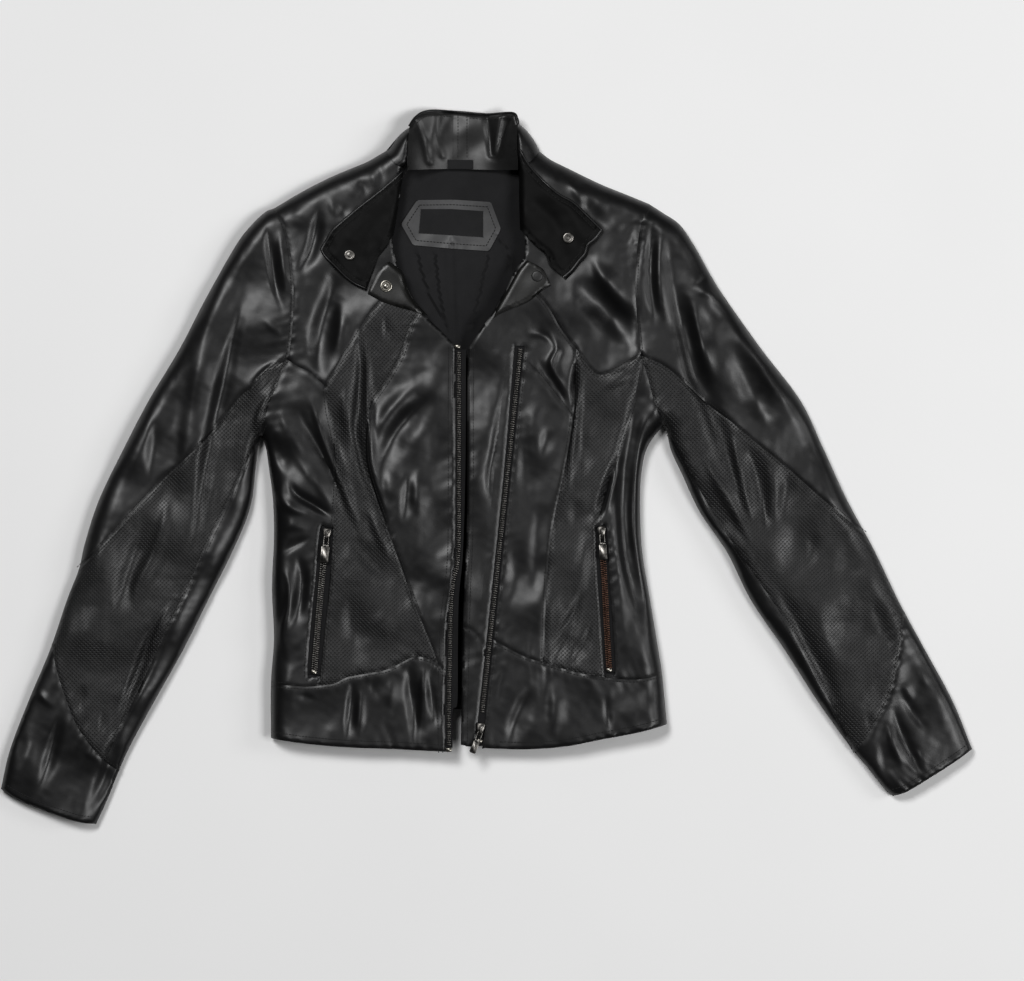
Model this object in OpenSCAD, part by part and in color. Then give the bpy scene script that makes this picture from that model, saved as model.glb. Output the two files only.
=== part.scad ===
// Leather riding jacket, open, lying flat on its back.
// Floor at Z = 0, collar towards +Y, the wearer's left side towards +X.
// Every panel is a sheet: back sheets at the floor, front sheets above a hollow for the body.

/* [Leather] */
// thickness of the outer leather
leather_t = 1.8; // [1.2:0.1:2.4]
// thickness of the lining cloth
lining_t = 0.8; // [0.5:0.1:1.2]
// height of the jacket body as it lies, floor to the top of the front leather
lay_h = 30; // [20:1:50]
// thickness of the folded-out collar and lapels
collar_t = 2.4; // [1.8:0.1:4]

/* [Zips] */
// pitch of the teeth
tooth_pitch = 4; // [2.5:0.5:6]
// width of a closed or single tooth row
tooth_w = 4; // [3:0.5:6]
// length of a slider body
slider_l = 13; // [10:1:16]
// width of a slider body
slider_w = 8.4; // [6:0.2:10]
// width of a pull tab
tab_w = 8; // [6:0.5:12]

/* [Snaps] */
// diameter of a snap fastener
snap_d = 11; // [8:0.5:15]

/* [Hidden] */
$fn = 40;
gap = 0.4;
front_z = lay_h - leather_t;
lining_top = front_z - 2.4;
tape_z = front_z - 1.3;
axis_z = lay_h + 0.4;
collar_z = lay_h + 1.6;

// ---- outlines ----------------------------------------------------------

// Whole front half on the -X side, from the neck round the armhole to the hem and the zip.
module left_front_2d() {
  polygon([[-102, 316], [-137, 299], [-187, 276], [-209, 256], [-197, 223], [-193, 188],
    [-193, 158], [-199, 108], [-219, 58], [-224, 31], [-219, 12], [-214, -32], [-215, -132],
    [-216, -212], [-216, -270], [-137, -278], [-87, -281], [-44, -282], [-42, -232],
    [-39, -182], [-34, -132], [-31, -82], [-31, 120], [-62, 153], [-82, 183], [-90, 206],
    [-95, 233], [-87, 268], [-83, 296]]);
}

// Whole front half on the +X side.
module right_front_2d() {
  polygon([[53, 316], [80, 299], [113, 283], [158, 261], [151, 228], [148, 188], [154, 128],
    [161, 98], [168, 68], [174, 40], [158, 18], [153, -7], [153, -32], [155, -82],
    [163, -132], [171, -182], [175, -207], [180, -256], [113, -272], [43, -281], [13, -280],
    [-26, -276], [-23, -132], [-20, 108], [-19, 120], [11, 163], [18, 183], [38, 213],
    [33, 268], [34, 300]]);
}

// The back, under both fronts and across the neck.
module back_2d() {
  polygon([[-102, 316], [-137, 299], [-187, 276], [-209, 256], [-197, 223], [-193, 188],
    [-193, 158], [-199, 108], [-219, 58], [-224, 31], [-219, 12], [-214, -32], [-215, -132],
    [-216, -212], [-214, -236], [-120, -240], [0, -241], [100, -239], [172, -232],
    [175, -207], [171, -182], [163, -132], [155, -82], [153, -32], [153, -7], [158, 18],
    [174, 40], [168, 68], [161, 98], [154, 128], [148, 188], [151, 228], [158, 261],
    [113, 283], [80, 299], [53, 316], [34, 306], [-83, 306]]);
}

// Region of the -X front that folds back about the slanting line from the V to the hem.
module turnback_2d(shift) {
  polygon([[-30 + shift, 121], [-182 + shift, -277], [-199 + shift, -321], [20, -321],
    [20, 121]]);
}

// Region of the +X front that folds back beside the main zip.
module flap_2d(shift) {
  polygon([[20 - shift, 118 - shift], [-20.5 - shift, -276], [-25 - shift, -320], [-60, -320],
    [-60, 118 - shift]]);
}

// A flat sheet of thickness t with its underside at height z.
module sheet(z, t) {
  translate([0, 0, z])
    linear_extrude(height = t)
      children();
}

// Plan of a strip of leather that stands on edge from point a to point b.
module strip_2d(a, b) {
  d = b - a;
  translate(a)
    rotate([0, 0, atan2(d[1], d[0])])
      translate([-0.8, -leather_t / 2])
        square([norm(d) + 1.6, leather_t]);
}

// Standing strips between two heights.
module standing(z0, z1) {
  translate([0, 0, z0])
    linear_extrude(height = z1 - z0)
      children();
}

// ---- frames for the zips -----------------------------------------------

main_foot = [-7, -267];
main_tilt = -6;
pocket_left_top = [-159, -60];
pocket_left_tilt = -5.8;
pocket_right_top = [114, -58];
pocket_right_tilt = 3.7;
pocket_len = 144;

module along(p, tilt) {
  translate([p[0], p[1], 0])
    rotate([0, 0, tilt])
      children();
}

module tooth_row(len, z, h) {
  translate([-0.6, 0, z])
    cube([1.2, len, h * 0.6]);
  for (i = [0 : floor(len / tooth_pitch) - 1])
    translate([-tooth_w / 2, i * tooth_pitch + 0.6, z])
      cube([tooth_w, tooth_pitch - 1.2, h]);
}

module slider_body() {
  translate([-slider_w / 2, -slider_l, axis_z])
    cube([slider_w, slider_l, 1]);
  translate([-slider_w / 2 + 1.2, -slider_l + 2, axis_z + 1])
    cube([slider_w - 2.4, slider_l - 4, 1.2]);
  translate([-1, -slider_l + 2, axis_z + 2.2])
    cube([2, slider_l - 5, 1.8]);
}

// ---- torso, back -------------------------------------------------------

module back_panel() {
  color([0.06, 0.06, 0.065])
    sheet(0, leather_t)
      back_2d();
}

module back_lining() {
  color([0.1, 0.1, 0.11])
    sheet(leather_t, lining_t)
      intersection() {
        back_2d();
        polygon([[-184, 262], [-188, 160], [-206, 30], [-206, -100], [-206, -223],
          [165, -223], [148, -90], [146, 20], [164, 40], [142, 180], [146, 252], [112, 268],
          [56, 296], [-104, 296], [-137, 285]]);
      }
}

module back_hem_facing() {
  color([0.09, 0.09, 0.1])
    sheet(leather_t, 1.2)
      polygon([[-208, -235], [-120, -239], [0, -240], [100, -238], [166, -231],
        [166, -223.4], [-208, -223.4]]);
}

module lining_patch() {
  color([0.2, 0.2, 0.21])
    sheet(leather_t + lining_t, 1)
      polygon([[-69, 266], [3, 264], [12, 238], [1, 218], [-74, 223], [-85, 246]]);
}

module blank_label() {
  color([0.13, 0.13, 0.14])
    sheet(leather_t + lining_t + 1, 0.6)
      polygon([[-67, 259], [-4, 257], [-5, 231], [-69, 235]]);
}

module neck_facing() {
  color([0.11, 0.11, 0.12])
    sheet(leather_t + lining_t, 1.6)
      polygon([[-79, 309], [31, 309], [30, 298], [-79, 299]]);
}

module neck_tab() {
  color([0.12, 0.12, 0.13])
    sheet(leather_t + lining_t + 1.6, 0.6)
      polygon([[-39, 307], [-14, 307], [-14, 298.5], [-39, 298.5]]);
}

// ---- collar ------------------------------------------------------------

module collar_back_2d() {
  polygon([[-102, 315], [-95, 322], [-85, 335], [-77, 343], [-70, 350], [-58, 356.5],
    [20, 356.5], [28, 350], [33, 343], [42, 335], [53, 315], [34, 309.4], [-83, 309.4]]);
}

module collar_back_outer() {
  color([0.07, 0.07, 0.075])
    sheet(leather_t, leather_t)
      collar_back_2d();
}

module collar_inner() {
  color([0.11, 0.11, 0.12])
    sheet(leather_t * 2, leather_t)
      polygon([[-79, 309.4], [-77, 342], [-69, 350], [-58, 356], [20, 356], [28, 349],
        [31, 309.4]]);
}

module collar_centre_strip() {
  color([0.13, 0.13, 0.14])
    sheet(leather_t * 3, 1)
      polygon([[-34, 309.4], [-34, 356], [-18, 356], [-18, 309.4]]);
}

module collar_flap_left() {
  color([0.05, 0.05, 0.055])
    sheet(collar_z, collar_t)
      polygon([[-89, 292], [-107, 277], [-137, 251], [-155, 231], [-164, 218], [-161, 210],
        [-142, 193], [-127, 184], [-113, 206], [-99, 229], [-92, 262]]);
}

module collar_flap_right() {
  color([0.05, 0.05, 0.055])
    sheet(collar_z, collar_t)
      polygon([[38, 300], [49, 289], [73, 270], [96, 253], [114, 236], [106, 226],
        [91, 207], [74, 192], [62, 206], [44, 228], [38, 262]]);
}

module lapel_left() {
  color([0.14, 0.14, 0.14])
    sheet(lay_h + gap, collar_t - 1.2)
      polygon([[-95, 206], [-118, 173], [-103, 165], [-88, 160], [-72, 155], [-58, 149],
        [-71, 165], [-79, 180], [-86, 196]]);
}

module lapel_right() {
  color([0.1, 0.1, 0.1])
    sheet(lay_h + gap, collar_t - 1.2)
      polygon([[40, 210], [58, 193], [54, 180], [27, 162], [6, 150], [-14, 124],
        [12, 163], [19, 183]]);
}

// ---- torso, front ------------------------------------------------------

module side_panel_left() {
  color([0.055, 0.055, 0.06])
    standing(leather_t, front_z) {
      strip_2d([-216, 28], [-210.5, -32]);
      strip_2d([-210.5, -32], [-211.5, -132]);
      strip_2d([-211.5, -132], [-212, -226]);
    }
}

module side_panel_right() {
  color([0.055, 0.055, 0.06])
    standing(leather_t, front_z) {
      strip_2d([151, 15], [150.5, -32]);
      strip_2d([150.5, -32], [152.5, -82]);
      strip_2d([152.5, -82], [171.5, -207]);
      strip_2d([171.5, -207], [172, -222]);
    }
}

module front_shoulder_left() {
  color([0.07, 0.07, 0.075]) {
    sheet(front_z, leather_t)
      intersection() {
        left_front_2d();
        polygon([[-240, 330], [-60, 330], [-60, 158], [-86, 150], [-108, 137], [-130, 120],
          [-162, 84], [-240, 84]]);
      }
    standing(leather_t, front_z + 0.9) {
      strip_2d([-199, 258], [-186, 270]);
      strip_2d([-186, 270], [-137, 293]);
      strip_2d([-137, 293], [-104, 309]);
    }
  }
}

module front_shoulder_right() {
  color([0.07, 0.07, 0.075]) {
    sheet(front_z, leather_t)
      intersection() {
        right_front_2d();
        polygon([[20, 330], [200, 330], [200, 100], [153, 111], [128, 98], [111, 93],
          [90, 112], [73, 138], [20, 163]]);
      }
    standing(leather_t, front_z + 0.9) {
      strip_2d([57, 308], [112, 277]);
      strip_2d([112, 277], [150, 259]);
    }
  }
}

module front_chest_perforated_left() {
  color([0.065, 0.065, 0.07])
    sheet(front_z, leather_t)
      difference() {
        intersection() {
          left_front_2d();
          polygon([[-60, 158], [-86, 150], [-108, 137], [-130, 120], [-162, 84],
            [-162, -20], [-107, -22], [-31, 60], [-31, 122]]);
        }
        turnback_2d(-gap);
      }
}

module front_chest_perforated_right() {
  color([0.065, 0.065, 0.07])
    sheet(front_z, leather_t)
      intersection() {
        right_front_2d();
        polygon([[200, 100], [153, 111], [128, 98], [111, 93], [88, 68], [88, 30],
          [76, -20], [66, -64], [104, -64], [118, -40], [140, 10], [200, 40]]);
      }
}

module front_side_left() {
  color([0.06, 0.06, 0.065])
    sheet(front_z, leather_t)
      difference() {
        intersection() {
          left_front_2d();
          polygon([[-240, 84], [-162, 84], [-162, -20], [-107, -22], [-70, -8], [-120, -107],
            [-142, -107], [-142, -205], [-175, -218], [-240, -216]]);
        }
        turnback_2d(-gap);
        along(pocket_left_top, pocket_left_tilt)
          translate([-5, -pocket_len])
            square([10, pocket_len]);
      }
}

module front_side_right() {
  color([0.06, 0.06, 0.065])
    sheet(front_z, leather_t)
      difference() {
        intersection() {
          right_front_2d();
          polygon([[200, 40], [140, 10], [118, -40], [104, -64], [104, -92], [98, -200],
            [123, -211], [200, -208]]);
        }
        along(pocket_right_top, pocket_right_tilt)
          translate([-5, -pocket_len])
            square([10, pocket_len]);
      }
}

module front_lower_perforated_left() {
  color([0.065, 0.065, 0.07])
    sheet(front_z, leather_t)
      difference() {
        polygon([[-142, -107], [-57, -107], [-62, -184], [-87, -194], [-132, -210],
          [-142, -205]]);
        turnback_2d(-gap);
      }
}

module front_lower_perforated_right() {
  color([0.065, 0.065, 0.07])
    sheet(front_z, leather_t)
      polygon([[66, -64], [104, -64], [104, -92], [98, -200], [88, -200], [58, -190],
        [60, -92]]);
}

module front_centre_left() {
  color([0.055, 0.055, 0.06])
    sheet(front_z, leather_t)
      intersection() {
        left_front_2d();
        turnback_2d(0);
        polygon([[-220, 130], [20, 130], [20, -170], [-62, -184], [-87, -194],
          [-132, -210], [-220, -216]]);
      }
}

module front_centre_right() {
  color([0.055, 0.055, 0.06])
    sheet(front_z, leather_t)
      difference() {
        intersection() {
          right_front_2d();
          polygon([[20, 163], [73, 138], [90, 112], [111, 93], [88, 68], [88, 30],
            [76, -20], [66, -64], [60, -92], [58, -190], [18, -172], [-17, -159],
            [-40, -152], [-40, 125], [-10, 163]]);
        }
        flap_2d(-gap);
        along(main_foot, main_tilt)
          translate([-3, 0])
            square([6, 388]);
      }
}

module front_flap_right() {
  color([0.055, 0.055, 0.06])
    sheet(front_z, leather_t)
      intersection() {
        right_front_2d();
        flap_2d(0);
      }
}

module hem_band_left() {
  color([0.06, 0.06, 0.065])
    sheet(front_z, leather_t)
      difference() {
        intersection() {
          left_front_2d();
          polygon([[-240, -216], [-175, -218], [-142, -205], [-132, -210], [-87, -194],
            [-62, -184], [20, -170], [20, -300], [-240, -300]]);
        }
        turnback_2d(-gap);
      }
}

module hem_band_left_inner() {
  color([0.06, 0.06, 0.065])
    sheet(front_z, leather_t)
      intersection() {
        left_front_2d();
        turnback_2d(0);
        polygon([[-240, -216], [-220, -216], [-132, -210], [-87, -194], [-62, -184],
          [20, -170], [20, -300], [-240, -300]]);
      }
}

module hem_band_right() {
  color([0.06, 0.06, 0.065])
    sheet(front_z, leather_t)
      difference() {
        intersection() {
          right_front_2d();
          polygon([[-40, -152], [-17, -159], [18, -172], [58, -190], [88, -200], [98, -200],
            [123, -211], [200, -208], [200, -300], [-40, -300]]);
        }
        flap_2d(-gap);
        along(main_foot, main_tilt)
          translate([-3, 0])
            square([6, 388]);
      }
}

// ---- linings and pockets -----------------------------------------------

module front_lining_left() {
  color([0.1, 0.1, 0.11])
    sheet(lining_top - lining_t, lining_t)
      difference() {
        intersection() {
          left_front_2d();
          translate([5, -13])
            left_front_2d();
          polygon([[0, -279], [-208, -268], [-207, -32], [-212, 32], [-195, 110],
            [-188, 320], [0, 320]]);
        }
        turnback_2d(-gap);
      }
}

module front_lining_left_inner() {
  color([0.1, 0.1, 0.11])
    sheet(lining_top - lining_t, lining_t)
      intersection() {
        left_front_2d();
        translate([-8, 3])
          left_front_2d();
        turnback_2d(0);
      }
}

module front_lining_right() {
  color([0.1, 0.1, 0.11])
    sheet(lining_top - lining_t, lining_t)
      difference() {
        intersection() {
          right_front_2d();
          translate([-5, -13])
            right_front_2d();
          polygon([[-60, -277], [100, -270], [167, -253], [166, -210], [149, -90], [148, 20],
            [160, 60], [180, 120], [180, 320], [-60, 320]]);
        }
        flap_2d(-gap);
      }
}

module pocket_bag_left() {
  color([0.09, 0.09, 0.1])
    sheet(lining_top + 0.1, 1)
      difference() {
        polygon([[-182, -50], [-140, -50], [-140, -80], [-160, -222], [-200, -222],
          [-200, -120]]);
        turnback_2d(-gap);
      }
}

module pocket_bag_right() {
  color([0.09, 0.09, 0.1])
    sheet(lining_top + 0.1, 1)
      polygon([[96, -48], [136, -48], [144, -130], [150, -220], [104, -220], [92, -120]]);
}

module pocket_zip_left() {
  color([0.3, 0.29, 0.28])
    along(pocket_left_top, pocket_left_tilt) {
      translate([-8, -pocket_len - 4, tape_z])
        cube([16, pocket_len + 8, 1]);
      translate([0, -pocket_len + 3, 0])
        tooth_row(pocket_len - 14, tape_z + 1, 2);
    }
}

module pocket_zip_right() {
  color([0.42, 0.3, 0.24])
    along(pocket_right_top, pocket_right_tilt) {
      translate([-8, -pocket_len - 4, tape_z])
        cube([16, pocket_len + 8, 1]);
      translate([0, -pocket_len + 3, 0])
        tooth_row(pocket_len - 14, tape_z + 1, 2);
    }
}

// A fork that straddles the slider's lug, drawn with its pivot at the origin.
module pull_fork() {
  for (side = [-1, 1])
    translate([side * 2 - 0.6, -9, -0.5])
      cube([1.2, 10, 1]);
  translate([-2.6, -11, -0.5])
    cube([5.2, 5, 1]);
}

module pocket_pull_shape() {
  translate([0, -slider_l + 4, axis_z + 3.4]) {
    pull_fork();
    translate([-tab_w / 2, -30, -0.5])
      difference() {
        cube([tab_w, 19, 1]);
        translate([1.6, 2, 0.7])
          cube([tab_w - 3.2, 13, 1]);
      }
  }
}

module pocket_slider_left() {
  color([0.3, 0.29, 0.29])
    along(pocket_left_top, pocket_left_tilt)
      slider_body();
}

module pocket_slider_right() {
  color([0.3, 0.29, 0.29])
    along(pocket_right_top, pocket_right_tilt)
      slider_body();
}

module pocket_pull_left() {
  color([0.28, 0.27, 0.27])
    along(pocket_left_top, pocket_left_tilt)
      pocket_pull_shape();
}

module pocket_pull_right() {
  color([0.28, 0.27, 0.27])
    along(pocket_right_top, pocket_right_tilt)
      pocket_pull_shape();
}

// ---- main zip ----------------------------------------------------------

module zip_row_left() {
  color([0.34, 0.32, 0.3]) {
    sheet(tape_z, 1)
      polygon([[-33, 104], [-28, 118], [-28, -82], [-31, -132], [-36, -182], [-39, -232],
        [-41, -281], [-52, -281], [-50, -232], [-47, -182], [-42, -132], [-39, -82]]);
    translate([-28.5, -80, 0])
      tooth_row(198, tape_z + 1, 2);
    along([-40.5, -281], -3.5)
      tooth_row(200, tape_z + 1, 2);
  }
}

module zip_row_right() {
  color([0.34, 0.32, 0.3])
    along(main_foot, main_tilt) {
      translate([-10, -8, tape_z])
        cube([20, 390, 1]);
      tooth_row(380, tape_z + 1, 2);
    }
}

module main_slider() {
  color([0.3, 0.29, 0.29])
    along(main_foot, main_tilt)
      translate([0, slider_l, 0])
        slider_body();
}

module main_pull() {
  color([0.26, 0.25, 0.25])
    along(main_foot, main_tilt)
      translate([0, 3.2, axis_z + 3.4])
        rotate([0, 0, -16]) {
          pull_fork();
          translate([-3.2, -20.5, -0.5])
            cube([6.4, 10, 1]);
        }
}

// ---- snaps -------------------------------------------------------------

module snap_cap_collar_left() {
  color([0.24, 0.24, 0.24])
    translate([-137, 212, collar_z + collar_t])
      cylinder(d = snap_d, h = 1.6);
}

module snap_socket_collar_right() {
  color([0.24, 0.24, 0.24])
    translate([81, 229, collar_z + collar_t])
      difference() {
        cylinder(d = snap_d, h = 1.6);
        translate([0, 0, 0.6])
          cylinder(d = 4, h = 2);
      }
}

module snap_stud_lapel_left() {
  color([0.5, 0.48, 0.44])
    translate([-100.5, 181, lay_h + gap + collar_t - 1.2])
      difference() {
        cylinder(d = snap_d, h = 1.4);
        translate([0, 0, 0.6])
          cylinder(d = 6, h = 2);
      }
}

// ---- sleeves -----------------------------------------------------------

module sleeve_left_2d() {
  polygon([[-209.5, 256.5], [-222, 256], [-254, 218], [-282, 168], [-308, 118], [-338, 68],
    [-364, 18], [-388, -32], [-404, -82], [-407, -102], [-420, -132], [-437, -182],
    [-458, -232], [-477, -282], [-486.5, -325], [-437, -344], [-390, -356.5], [-380, -332],
    [-360, -282], [-332, -232], [-304, -182], [-279, -132], [-254, -82], [-236, -32],
    [-228, 12], [-225, 31], [-219.5, 58], [-199.5, 108], [-193.5, 158], [-193.5, 188],
    [-197.5, 223]]);
}

module sleeve_right_2d() {
  polygon([[158.5, 261.5], [168, 262], [193, 243], [208, 218], [223, 193], [238, 168],
    [275, 118], [313, 68], [336, 18], [359, -32], [387, -82], [411, -132], [438, -182],
    [465, -232], [486.5, -280], [443, -310], [406, -329], [363, -282], [330, -232],
    [298, -182], [264, -132], [240, -82], [213, -44], [193, -2], [184, 18], [177, 41],
    [168.5, 68], [161.5, 98], [154.5, 128], [148.5, 188], [151.5, 228]]);
}

module sleeve_under_left() {
  color([0.05, 0.05, 0.055])
    sheet(0, leather_t)
      sleeve_left_2d();
}

module sleeve_under_right() {
  color([0.05, 0.05, 0.055])
    sheet(0, leather_t)
      sleeve_right_2d();
}

// The outer and inner sides of a sleeve, between its underside and its upper face.
module sleeve_side_left() {
  color([0.05, 0.05, 0.055])
    standing(leather_t, front_z) {
      strip_2d([-220, 250], [-306, 112]);
      strip_2d([-306, 112], [-384, -36]);
      strip_2d([-384, -36], [-403, -102]);
      strip_2d([-403, -102], [-482, -322]);
      strip_2d([-394, -351], [-384, -330]);
      strip_2d([-384, -330], [-336, -230]);
      strip_2d([-336, -230], [-258, -80]);
      strip_2d([-258, -80], [-240, -32]);
      strip_2d([-240, -32], [-231, 24]);
    }
}

module sleeve_side_right() {
  color([0.05, 0.05, 0.055])
    standing(leather_t, front_z) {
      strip_2d([171, 257], [191, 241]);
      strip_2d([191, 241], [236, 164]);
      strip_2d([236, 164], [310, 65]);
      strip_2d([310, 65], [356, -34]);
      strip_2d([356, -34], [409, -134]);
      strip_2d([409, -134], [481, -277]);
      strip_2d([409, -323], [334, -230]);
      strip_2d([334, -230], [244, -80]);
      strip_2d([244, -80], [197, -2]);
      strip_2d([197, -2], [184, 30]);
    }
}

module sleeve_lining_left() {
  color([0.1, 0.1, 0.11])
    sheet(leather_t, lining_t)
      polygon([[-212, 236], [-224, 232], [-276, 150], [-300, 108], [-378, -40], [-397, -104],
        [-470, -310], [-398, -340], [-342, -230], [-264, -80], [-236, 20], [-205, 120],
        [-199, 180]]);
}

module sleeve_lining_right() {
  color([0.1, 0.1, 0.11])
    sheet(leather_t, lining_t)
      polygon([[162, 246], [184, 238], [228, 164], [302, 64], [350, -36], [402, -136],
        [470, -276], [416, -312], [340, -226], [252, -80], [204, 0], [189, 40],
        [166, 120], [156, 190]]);
}

module sleeve_upper_left() {
  color([0.065, 0.065, 0.07])
    sheet(front_z, leather_t)
      intersection() {
        sleeve_left_2d();
        polygon([[-150, 300], [-300, 300], [-420, 20], [-420, -100], [-407, -100],
          [-377, -72], [-327, -12], [-282, 43], [-230, 62], [-180, 72]]);
      }
}

module sleeve_forearm_left() {
  color([0.06, 0.06, 0.065])
    sheet(front_z, leather_t)
      intersection() {
        sleeve_left_2d();
        polygon([[-180, 72], [-230, 62], [-282, 43], [-327, -12], [-377, -72],
          [-407, -100], [-440, -100], [-500, -290], [-479, -284], [-427, -297],
          [-370, -307], [-330, -310], [-180, -40]]);
      }
}

module sleeve_cuff_left() {
  color([0.055, 0.055, 0.06])
    sheet(front_z, leather_t)
      intersection() {
        sleeve_left_2d();
        polygon([[-500, -290], [-479, -284], [-427, -297], [-370, -307], [-330, -310],
          [-330, -370], [-500, -370]]);
      }
}

module sleeve_upper_right() {
  color([0.065, 0.065, 0.07])
    sheet(front_z, leather_t)
      intersection() {
        sleeve_right_2d();
        polygon([[100, 300], [260, 300], [400, 20], [420, -70], [381, -80], [343, -52],
          [283, 13], [253, 38], [225, 58], [193, 88], [140, 100]]);
      }
}

module sleeve_forearm_right() {
  color([0.06, 0.06, 0.065])
    sheet(front_z, leather_t)
      intersection() {
        sleeve_right_2d();
        polygon([[140, 100], [193, 88], [225, 58], [253, 38], [283, 13], [343, -52],
          [381, -80], [420, -70], [500, -244], [462, -249], [420, -270], [386, -291],
          [350, -310], [140, -60]]);
      }
}

module sleeve_cuff_right() {
  color([0.055, 0.055, 0.06])
    sheet(front_z, leather_t)
      intersection() {
        sleeve_right_2d();
        polygon([[500, -244], [462, -249], [420, -270], [386, -291], [350, -310],
          [350, -360], [500, -360]]);
      }
}

// ---- every sub-part ----------------------------------------------------
back_panel();
back_lining();
back_hem_facing();
lining_patch();
blank_label();
neck_facing();
neck_tab();
collar_back_outer();
collar_inner();
collar_centre_strip();
side_panel_left();
side_panel_right();
front_shoulder_left();
front_shoulder_right();
front_chest_perforated_left();
front_chest_perforated_right();
front_side_left();
front_side_right();
front_lower_perforated_left();
front_lower_perforated_right();
front_centre_left();
front_centre_right();
front_flap_right();
hem_band_left();
hem_band_left_inner();
hem_band_right();
front_lining_left();
front_lining_left_inner();
front_lining_right();
zip_row_left();
zip_row_right();
main_slider();
main_pull();
pocket_bag_left();
pocket_bag_right();
pocket_zip_left();
pocket_zip_right();
pocket_slider_left();
pocket_pull_left();
pocket_slider_right();
pocket_pull_right();
collar_flap_left();
collar_flap_right();
lapel_left();
lapel_right();
snap_cap_collar_left();
snap_socket_collar_right();
snap_stud_lapel_left();
sleeve_upper_left();
sleeve_forearm_left();
sleeve_cuff_left();
sleeve_under_left();
sleeve_side_left();
sleeve_lining_left();
sleeve_upper_right();
sleeve_forearm_right();
sleeve_cuff_right();
sleeve_under_right();
sleeve_side_right();
sleeve_lining_right();
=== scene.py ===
"""Black leather riding jacket, open and laid flat on its back, seen from straight above.

Plan sizes are in millimetres in the part's own frame: +X to the wearer's left sleeve,
+Y to the collar, +Z up from the floor.
"""
import math

import bpy
import numpy as np
from mathutils.geometry import delaunay_2d_cdt
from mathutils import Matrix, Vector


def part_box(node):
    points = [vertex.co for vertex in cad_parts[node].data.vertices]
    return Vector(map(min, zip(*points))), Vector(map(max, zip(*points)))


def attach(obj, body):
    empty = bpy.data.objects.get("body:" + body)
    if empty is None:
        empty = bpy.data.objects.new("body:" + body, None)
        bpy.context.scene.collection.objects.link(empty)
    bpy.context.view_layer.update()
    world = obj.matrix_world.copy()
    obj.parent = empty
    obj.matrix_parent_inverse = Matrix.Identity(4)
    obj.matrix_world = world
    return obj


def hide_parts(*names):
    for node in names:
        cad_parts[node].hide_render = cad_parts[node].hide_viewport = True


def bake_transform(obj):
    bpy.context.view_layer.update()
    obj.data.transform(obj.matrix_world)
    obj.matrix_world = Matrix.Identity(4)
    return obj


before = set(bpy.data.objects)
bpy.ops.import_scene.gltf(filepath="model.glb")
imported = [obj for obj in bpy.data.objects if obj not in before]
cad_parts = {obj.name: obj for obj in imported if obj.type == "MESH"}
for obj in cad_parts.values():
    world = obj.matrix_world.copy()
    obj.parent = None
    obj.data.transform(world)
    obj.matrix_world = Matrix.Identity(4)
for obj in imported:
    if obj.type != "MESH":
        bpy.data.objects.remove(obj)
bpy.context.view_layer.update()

MM = 0.001

# ---- driving sizes, in millimetres ---------------------------------------

FRONT_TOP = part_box("front_side_left")[1][2] / MM    # top of the front leather
LAY_TORSO = FRONT_TOP - 3.0                         # height the front leather lies at
LAY_ARM = FRONT_TOP - 4.0                           # the same at the shoulder end of a sleeve
LAY_CUFF = FRONT_TOP - 12.0                         # the same at the cuffs
EDGE_MID = 9.0                                      # height of the side seams above the floor
EDGE_ROUND = 19.0                                   # how far in the sides stay rounded
SWELL = 1.8                                         # the broad swells of the loose leather
WAVE_COUNT = 18                                     # plain waves added up in each unevenness

LEATHER = 1.4                                       # thickness of the leather
THIN_LEATHER = 1.2                                  # the facings inside the jacket
COLLAR_LEATHER = 2.0                                # the folded-over, doubled collar leaves
LAPEL_LEATHER = 1.6
CLOTH = 0.6                                         # thickness of the lining
TAPE = 0.8                                          # thickness of the zip tapes
LINING_DROP = 4.2                                   # from the front leather down to its lining
SLEEVE_LINING_DROP = 3.2
BAG_DROP = 3.4                                      # from the leather down to the pocket bags
TAPE_DROP = 1.6                                     # from the leather down to the zip tapes

GRID = 2.3                                          # spacing of the mesh points
STEP = 2.0                                          # spacing along the panel edges
STITCH_PITCH = 3.3
STITCH_LIFT = 0.15                                  # of the stitches above the leather
BESIDE = 2.4                                        # from a seam to the stitches beside it
BESIDE_SLOT = 2.6                                   # the same at the pocket slits
BESIDE_HEM = 7.0                                    # the same at hems and cuffs
HOLE_PITCH = 2.9                                    # between the holes of the perforated leather

TOOTH_PITCH = 2.2
TOOTH_HEIGHT = 1.5                                  # bar of a tooth
TOOTH_HEAD = 2.0                                    # bar and raised head of a tooth
TEETH_TOP = LAY_TORSO - TAPE_DROP + TOOTH_HEAD + 0.2
SLIDER_GAP = 0.6                                    # from the teeth up to the sliders
TAPE_WIDTH = 9.0                                    # each side of the main teeth
POCKET_TAPE_WIDTH = 8.0
ZIP_SLOT = 3.6                                      # from the main teeth to the leather beside


# ---- curves in plan -------------------------------------------------------

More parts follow.
